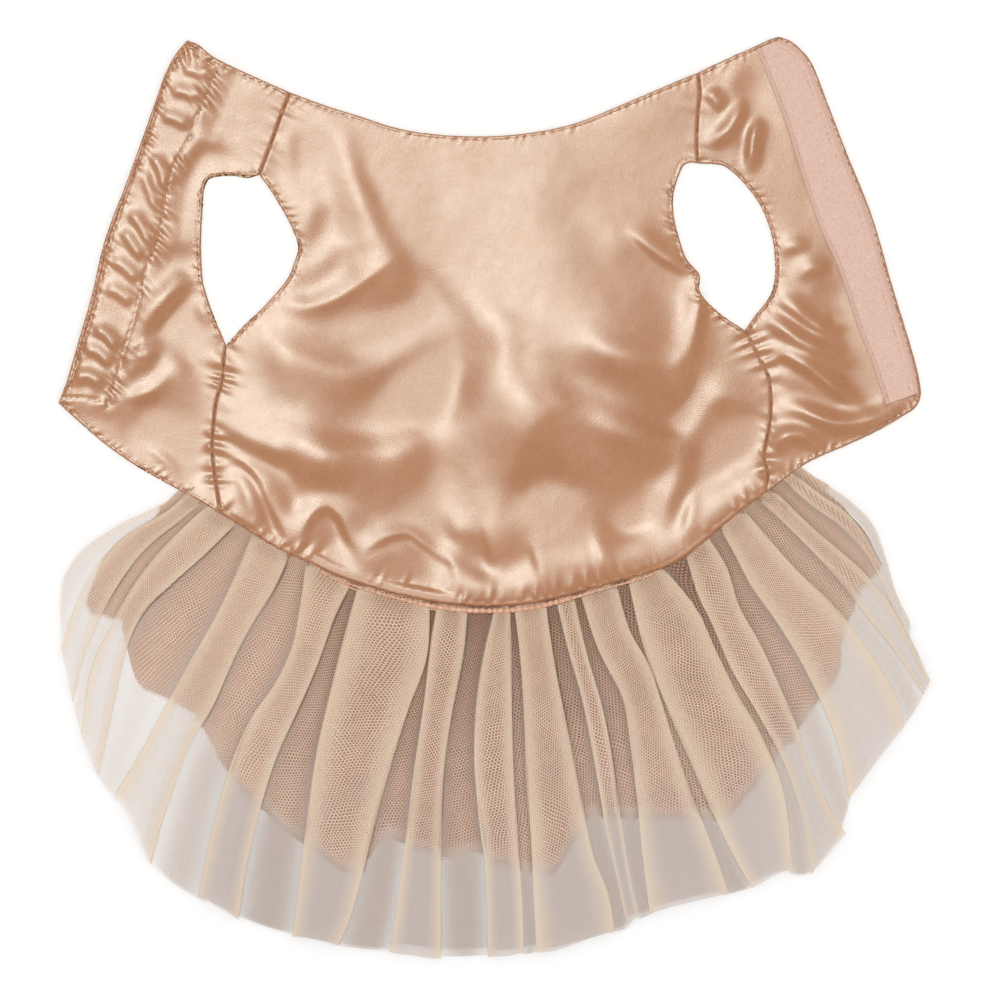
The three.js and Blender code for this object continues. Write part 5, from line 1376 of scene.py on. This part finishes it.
def sheer(name, turn, threads, holes, fold_more, tones):
    m = Nodes(name)
    c = m.coords()
    t = m.attr("cloth", "Vector")
    fold = m.attr("fold")
    fall = m.attr("fall")
    crowd = m.attr("crowd")
    valley = m.attr("valley")
    mp = m.new("ShaderNodeMapping"); m.link(t, mp.inputs["Vector"]); mp.inputs["Rotation"].default_value = (0, 0, turn)
    mask, d = hex_mask(m, mp.outputs[0], 1.3, 0.105)
    cloud = m.noise(c, 18, 2, 0.55)
    near_fold = m.math("POWER", fold, 1.2)
    # past the net the threads blur into an even milky film, denser where the plies crowd and greyed there by painted
    # shade of the stacked plies and the floor under them
    past = m.attr("past")
    haze_and_shade = m.math("MULTIPLY", crowd, past)
    weave = m.math("ADD", m.math("MULTIPLY", mask, m.math("MULTIPLY_ADD", past, -0.9, 1.0)), m.math("MULTIPLY", past, 0.34))
    alpha = m.math("MULTIPLY_ADD", weave, threads - holes, holes)
    alpha = m.math("MULTIPLY", alpha, m.math("MULTIPLY_ADD", cloud, 0.6, 0.70))
    # thinner over the deep valleys by the waist
    deep = m.math("MULTIPLY", valley, m.math("SUBTRACT", 1.0, m.math("MULTIPLY", fall, 2.0), clamp=True))
    alpha = m.math("MULTIPLY", alpha, m.math("SUBTRACT", 1.0, m.math("MULTIPLY", deep, 0.8)))
    more = m.math("MULTIPLY", haze_and_shade, m.math("MULTIPLY_ADD", valley, 0.20, 0.40))
    alpha = m.math("ADD", alpha, more)
    alpha = m.math("ADD", alpha, m.math("MULTIPLY", near_fold, fold_more))
    alpha = m.math("MULTIPLY", alpha, m.attr("thin"), clamp=True)
    base = m.mix(near_fold, tones[0], tones[1])
    base = m.mix(m.math("MULTIPLY", m.math("SUBTRACT", 1.0, m.math("MULTIPLY", fall, 1.3), clamp=True), 0.8), base, tones[2])
    # greyer tone where the plies crowd past the net, less on the folds: painted shade of the stacked plies and of the
    # floor under them
    base = m.mix(m.math("MULTIPLY", haze_and_shade, m.math("SUBTRACT", 0.95, m.math("MULTIPLY", near_fold, 0.5))), base, tones[3])
    m.set(Base_Color=base, Roughness=m.math("MULTIPLY_ADD", cloud, 0.1, 0.72), Normal=lit_from_above(m, 0.7))
    m.put(m.p.inputs["Alpha"], alpha)
    m.p.inputs["Specular IOR Level"].default_value = 0.2
    m.p.inputs["Sheen Weight"].default_value = 0.1
    return m.mat


def floor_mat():
    m = Nodes("pale_floor")
    c = m.coords()
    n = m.noise(c, 3.0, 2)
    m.set(Base_Color=m.ramp(n, [(0.0, (0.925, 0.925, 0.925, 1)), (1.0, (0.935, 0.935, 0.935, 1))]), Roughness=m.math("MULTIPLY_ADD", n, 0.05, 0.85))
    m.p.inputs["Specular IOR Level"].default_value = 0.1
    return m.mat


SATIN, ROLL, THREAD, TAPE_THREAD = satin(), satin_roll(), thread(), tape_thread()
GLITTER, LOOP, HOOK = glitter(), loop_cloth(), hook_cloth()
# net tones: two thread tones mixed at random, a paler tone for the folds and sides, and a dark tone painting the shade
# of the valleys and under the waist
NET_TOP = net("hexagon_net_top", 0.30, 0.97, 0.0, (srgb(230, 194, 170), srgb(242, 208, 182), srgb(246, 222, 198), srgb(164, 112, 84)), 1.68, 0.120, 0.45)
# under net ply: a real second ply of net, but its dark brown tones and nearly opaque holes are painted shade of the
# plies above it
NET_LOW = net("hexagon_net_under_painted_shade", -0.25, 0.97, 0.82, (srgb(128, 80, 56), srgb(150, 102, 76), srgb(198, 152, 124), srgb(70, 36, 22)), 1.68, 0.18, 0.45)
# sheer tones: thread tone, creamier fold tone, warmer tone by the waist, and a grey tone painting the shade where the
# plies crowd past the net
SHEER_TOP = sheer("fine_tulle_top", 0.55, 0.27, 0.02, 0.34, (srgb(238, 220, 206), srgb(242, 222, 196), srgb(240, 212, 184), srgb(186, 170, 161)))
SHEER_LOW = sheer("fine_tulle_under", 0.20, 0.25, 0.03, 0.20, (srgb(234, 216, 202), srgb(240, 218, 192), srgb(234, 204, 176), srgb(178, 162, 153)))

table = [
    ("lining_back_cloth", SATIN, "satin", ["lining_back"]),
    ("lining_left_cloth", SATIN, "satin", ["lining_left_wing"]),
    ("lining_right_cloth", SATIN, "satin", ["lining_right_wing"]),
    ("outer_back_cloth", GLITTER, "glitter_cloth", ["outer_back"]),
    ("outer_left_cloth", GLITTER, "glitter_cloth", ["outer_left_wing"]),
    ("outer_right_cloth", GLITTER, "glitter_cloth", ["outer_right_wing"]),
    ("loop_tape_cloth", LOOP, "loop_tape", ["loop_tape"]),
    ("hook_tape_cloth", HOOK, "hook_tape", ["hook_tape"]),
    ("waist_edge_roll", ROLL, "satin", ["waist_seam_edge"]),
    ("satin_stitches", THREAD, "satin", []),
    ("tape_stitches", TAPE_THREAD, "loop_tape", []),
    ("thread_knots", ROLL, "satin", []),
    ("sheer_skirt_top", SHEER_TOP, "sheer", ["sheer_skirt"]),
    ("sheer_skirt_under", SHEER_LOW, "sheer", []),
    ("net_skirt_top", NET_TOP, "net", ["net_skirt"]),
    ("net_skirt_under", NET_LOW, "net", []),
]
for name, mat, slot_name, nodes in table:
    ob = made[name]
    ob.data.materials.append(mat)
    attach(ob, "root")
    if slot_name == "sheer":
        ob.visible_shadow = False
    if nodes:
        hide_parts(*nodes)


def spread(name):
    co = np.empty(len(made[name].data.vertices) * 3, np.float32)
    made[name].data.vertices.foreach_get("co", co)
    co = co.reshape(-1, 3)
    return co.max(0) - co.min(0)


for name, under, goes in [("lining_back_cloth", ["outer_back_cloth"], ["satin_stitches", "thread_knots", "waist_edge_roll"]),
                          ("lining_left_cloth", ["outer_left_cloth"], []), ("lining_right_cloth", ["outer_right_cloth"], []),
                          ("outer_back_cloth", [], []), ("outer_left_cloth", ["hook_tape_cloth"], []), ("outer_right_cloth", [], [])]:
    w = spread(name)

print("areas", round(area_sa, 4), round(area_sb, 4), round(area_na, 4), round(area_nb, 4), "across mm", round(float(across[-1]), 1), "down", round(float(down_even[-1]), 1))

# -------------------------------------------------------- floor, light, view
me = bpy.data.meshes.new("floor")
me.from_pydata([(-3, -3, 0), (3, -3, 0), (3, 3, 0), (-3, 3, 0)], [], [(0, 1, 2, 3)])
floor = bpy.data.objects.new("floor", me)
bpy.context.scene.collection.objects.link(floor)
me.materials.append(floor_mat())

world = bpy.data.worlds.new("soft_world")
bpy.context.scene.world = world
world.use_nodes = True
bg = world.node_tree.nodes["Background"]
bg.inputs[0].default_value = (1.0, 0.985, 0.97, 1.0)
bg.inputs[1].default_value = 0.52


def area_light(name, direction, distance, size, power, color=(1, 1, 1), aim=(0, 0.02, 0)):
    li = bpy.data.lights.new(name, "AREA")
    li.shape = "DISK"; li.size = size; li.energy = power; li.color = color
    ob = bpy.data.objects.new(name, li)
    bpy.context.scene.collection.objects.link(ob)
    d = Vector(direction).normalized()
    ob.location = Vector(aim) + d * distance
    ob.rotation_euler = (-d).to_track_quat("-Z", "Y").to_euler()
    return ob


area_light("key", (-0.1177, 0.139, 0.983), 8.0, 2.25, 357.0, (1.0, 0.99, 0.975))
area_light("fill", (0.55, -0.35, 0.76), 2.4, 1.6, 4.0, (1.0, 0.99, 0.985))

cam_data = bpy.data.cameras.new("camera")
cam = bpy.data.objects.new("camera", cam_data)
bpy.context.scene.collection.objects.link(cam)
cam.location = (-0.00125, 0.00385, 4.0)
cam.rotation_euler = (0, 0, 0)
cam_data.sensor_width = 36.0
cam_data.sensor_fit = "HORIZONTAL"
cam_data.lens = 36.0 * (4.0 - 0.003) / 0.4905
cam_data.clip_start = 0.05
cam_data.clip_end = 20.0
bpy.context.scene.camera = cam
bpy.context.scene.view_settings.view_transform = "Standard"
bpy.context.scene.view_settings.look = "None"
bpy.context.scene.cycles.transparent_max_bounces = 32
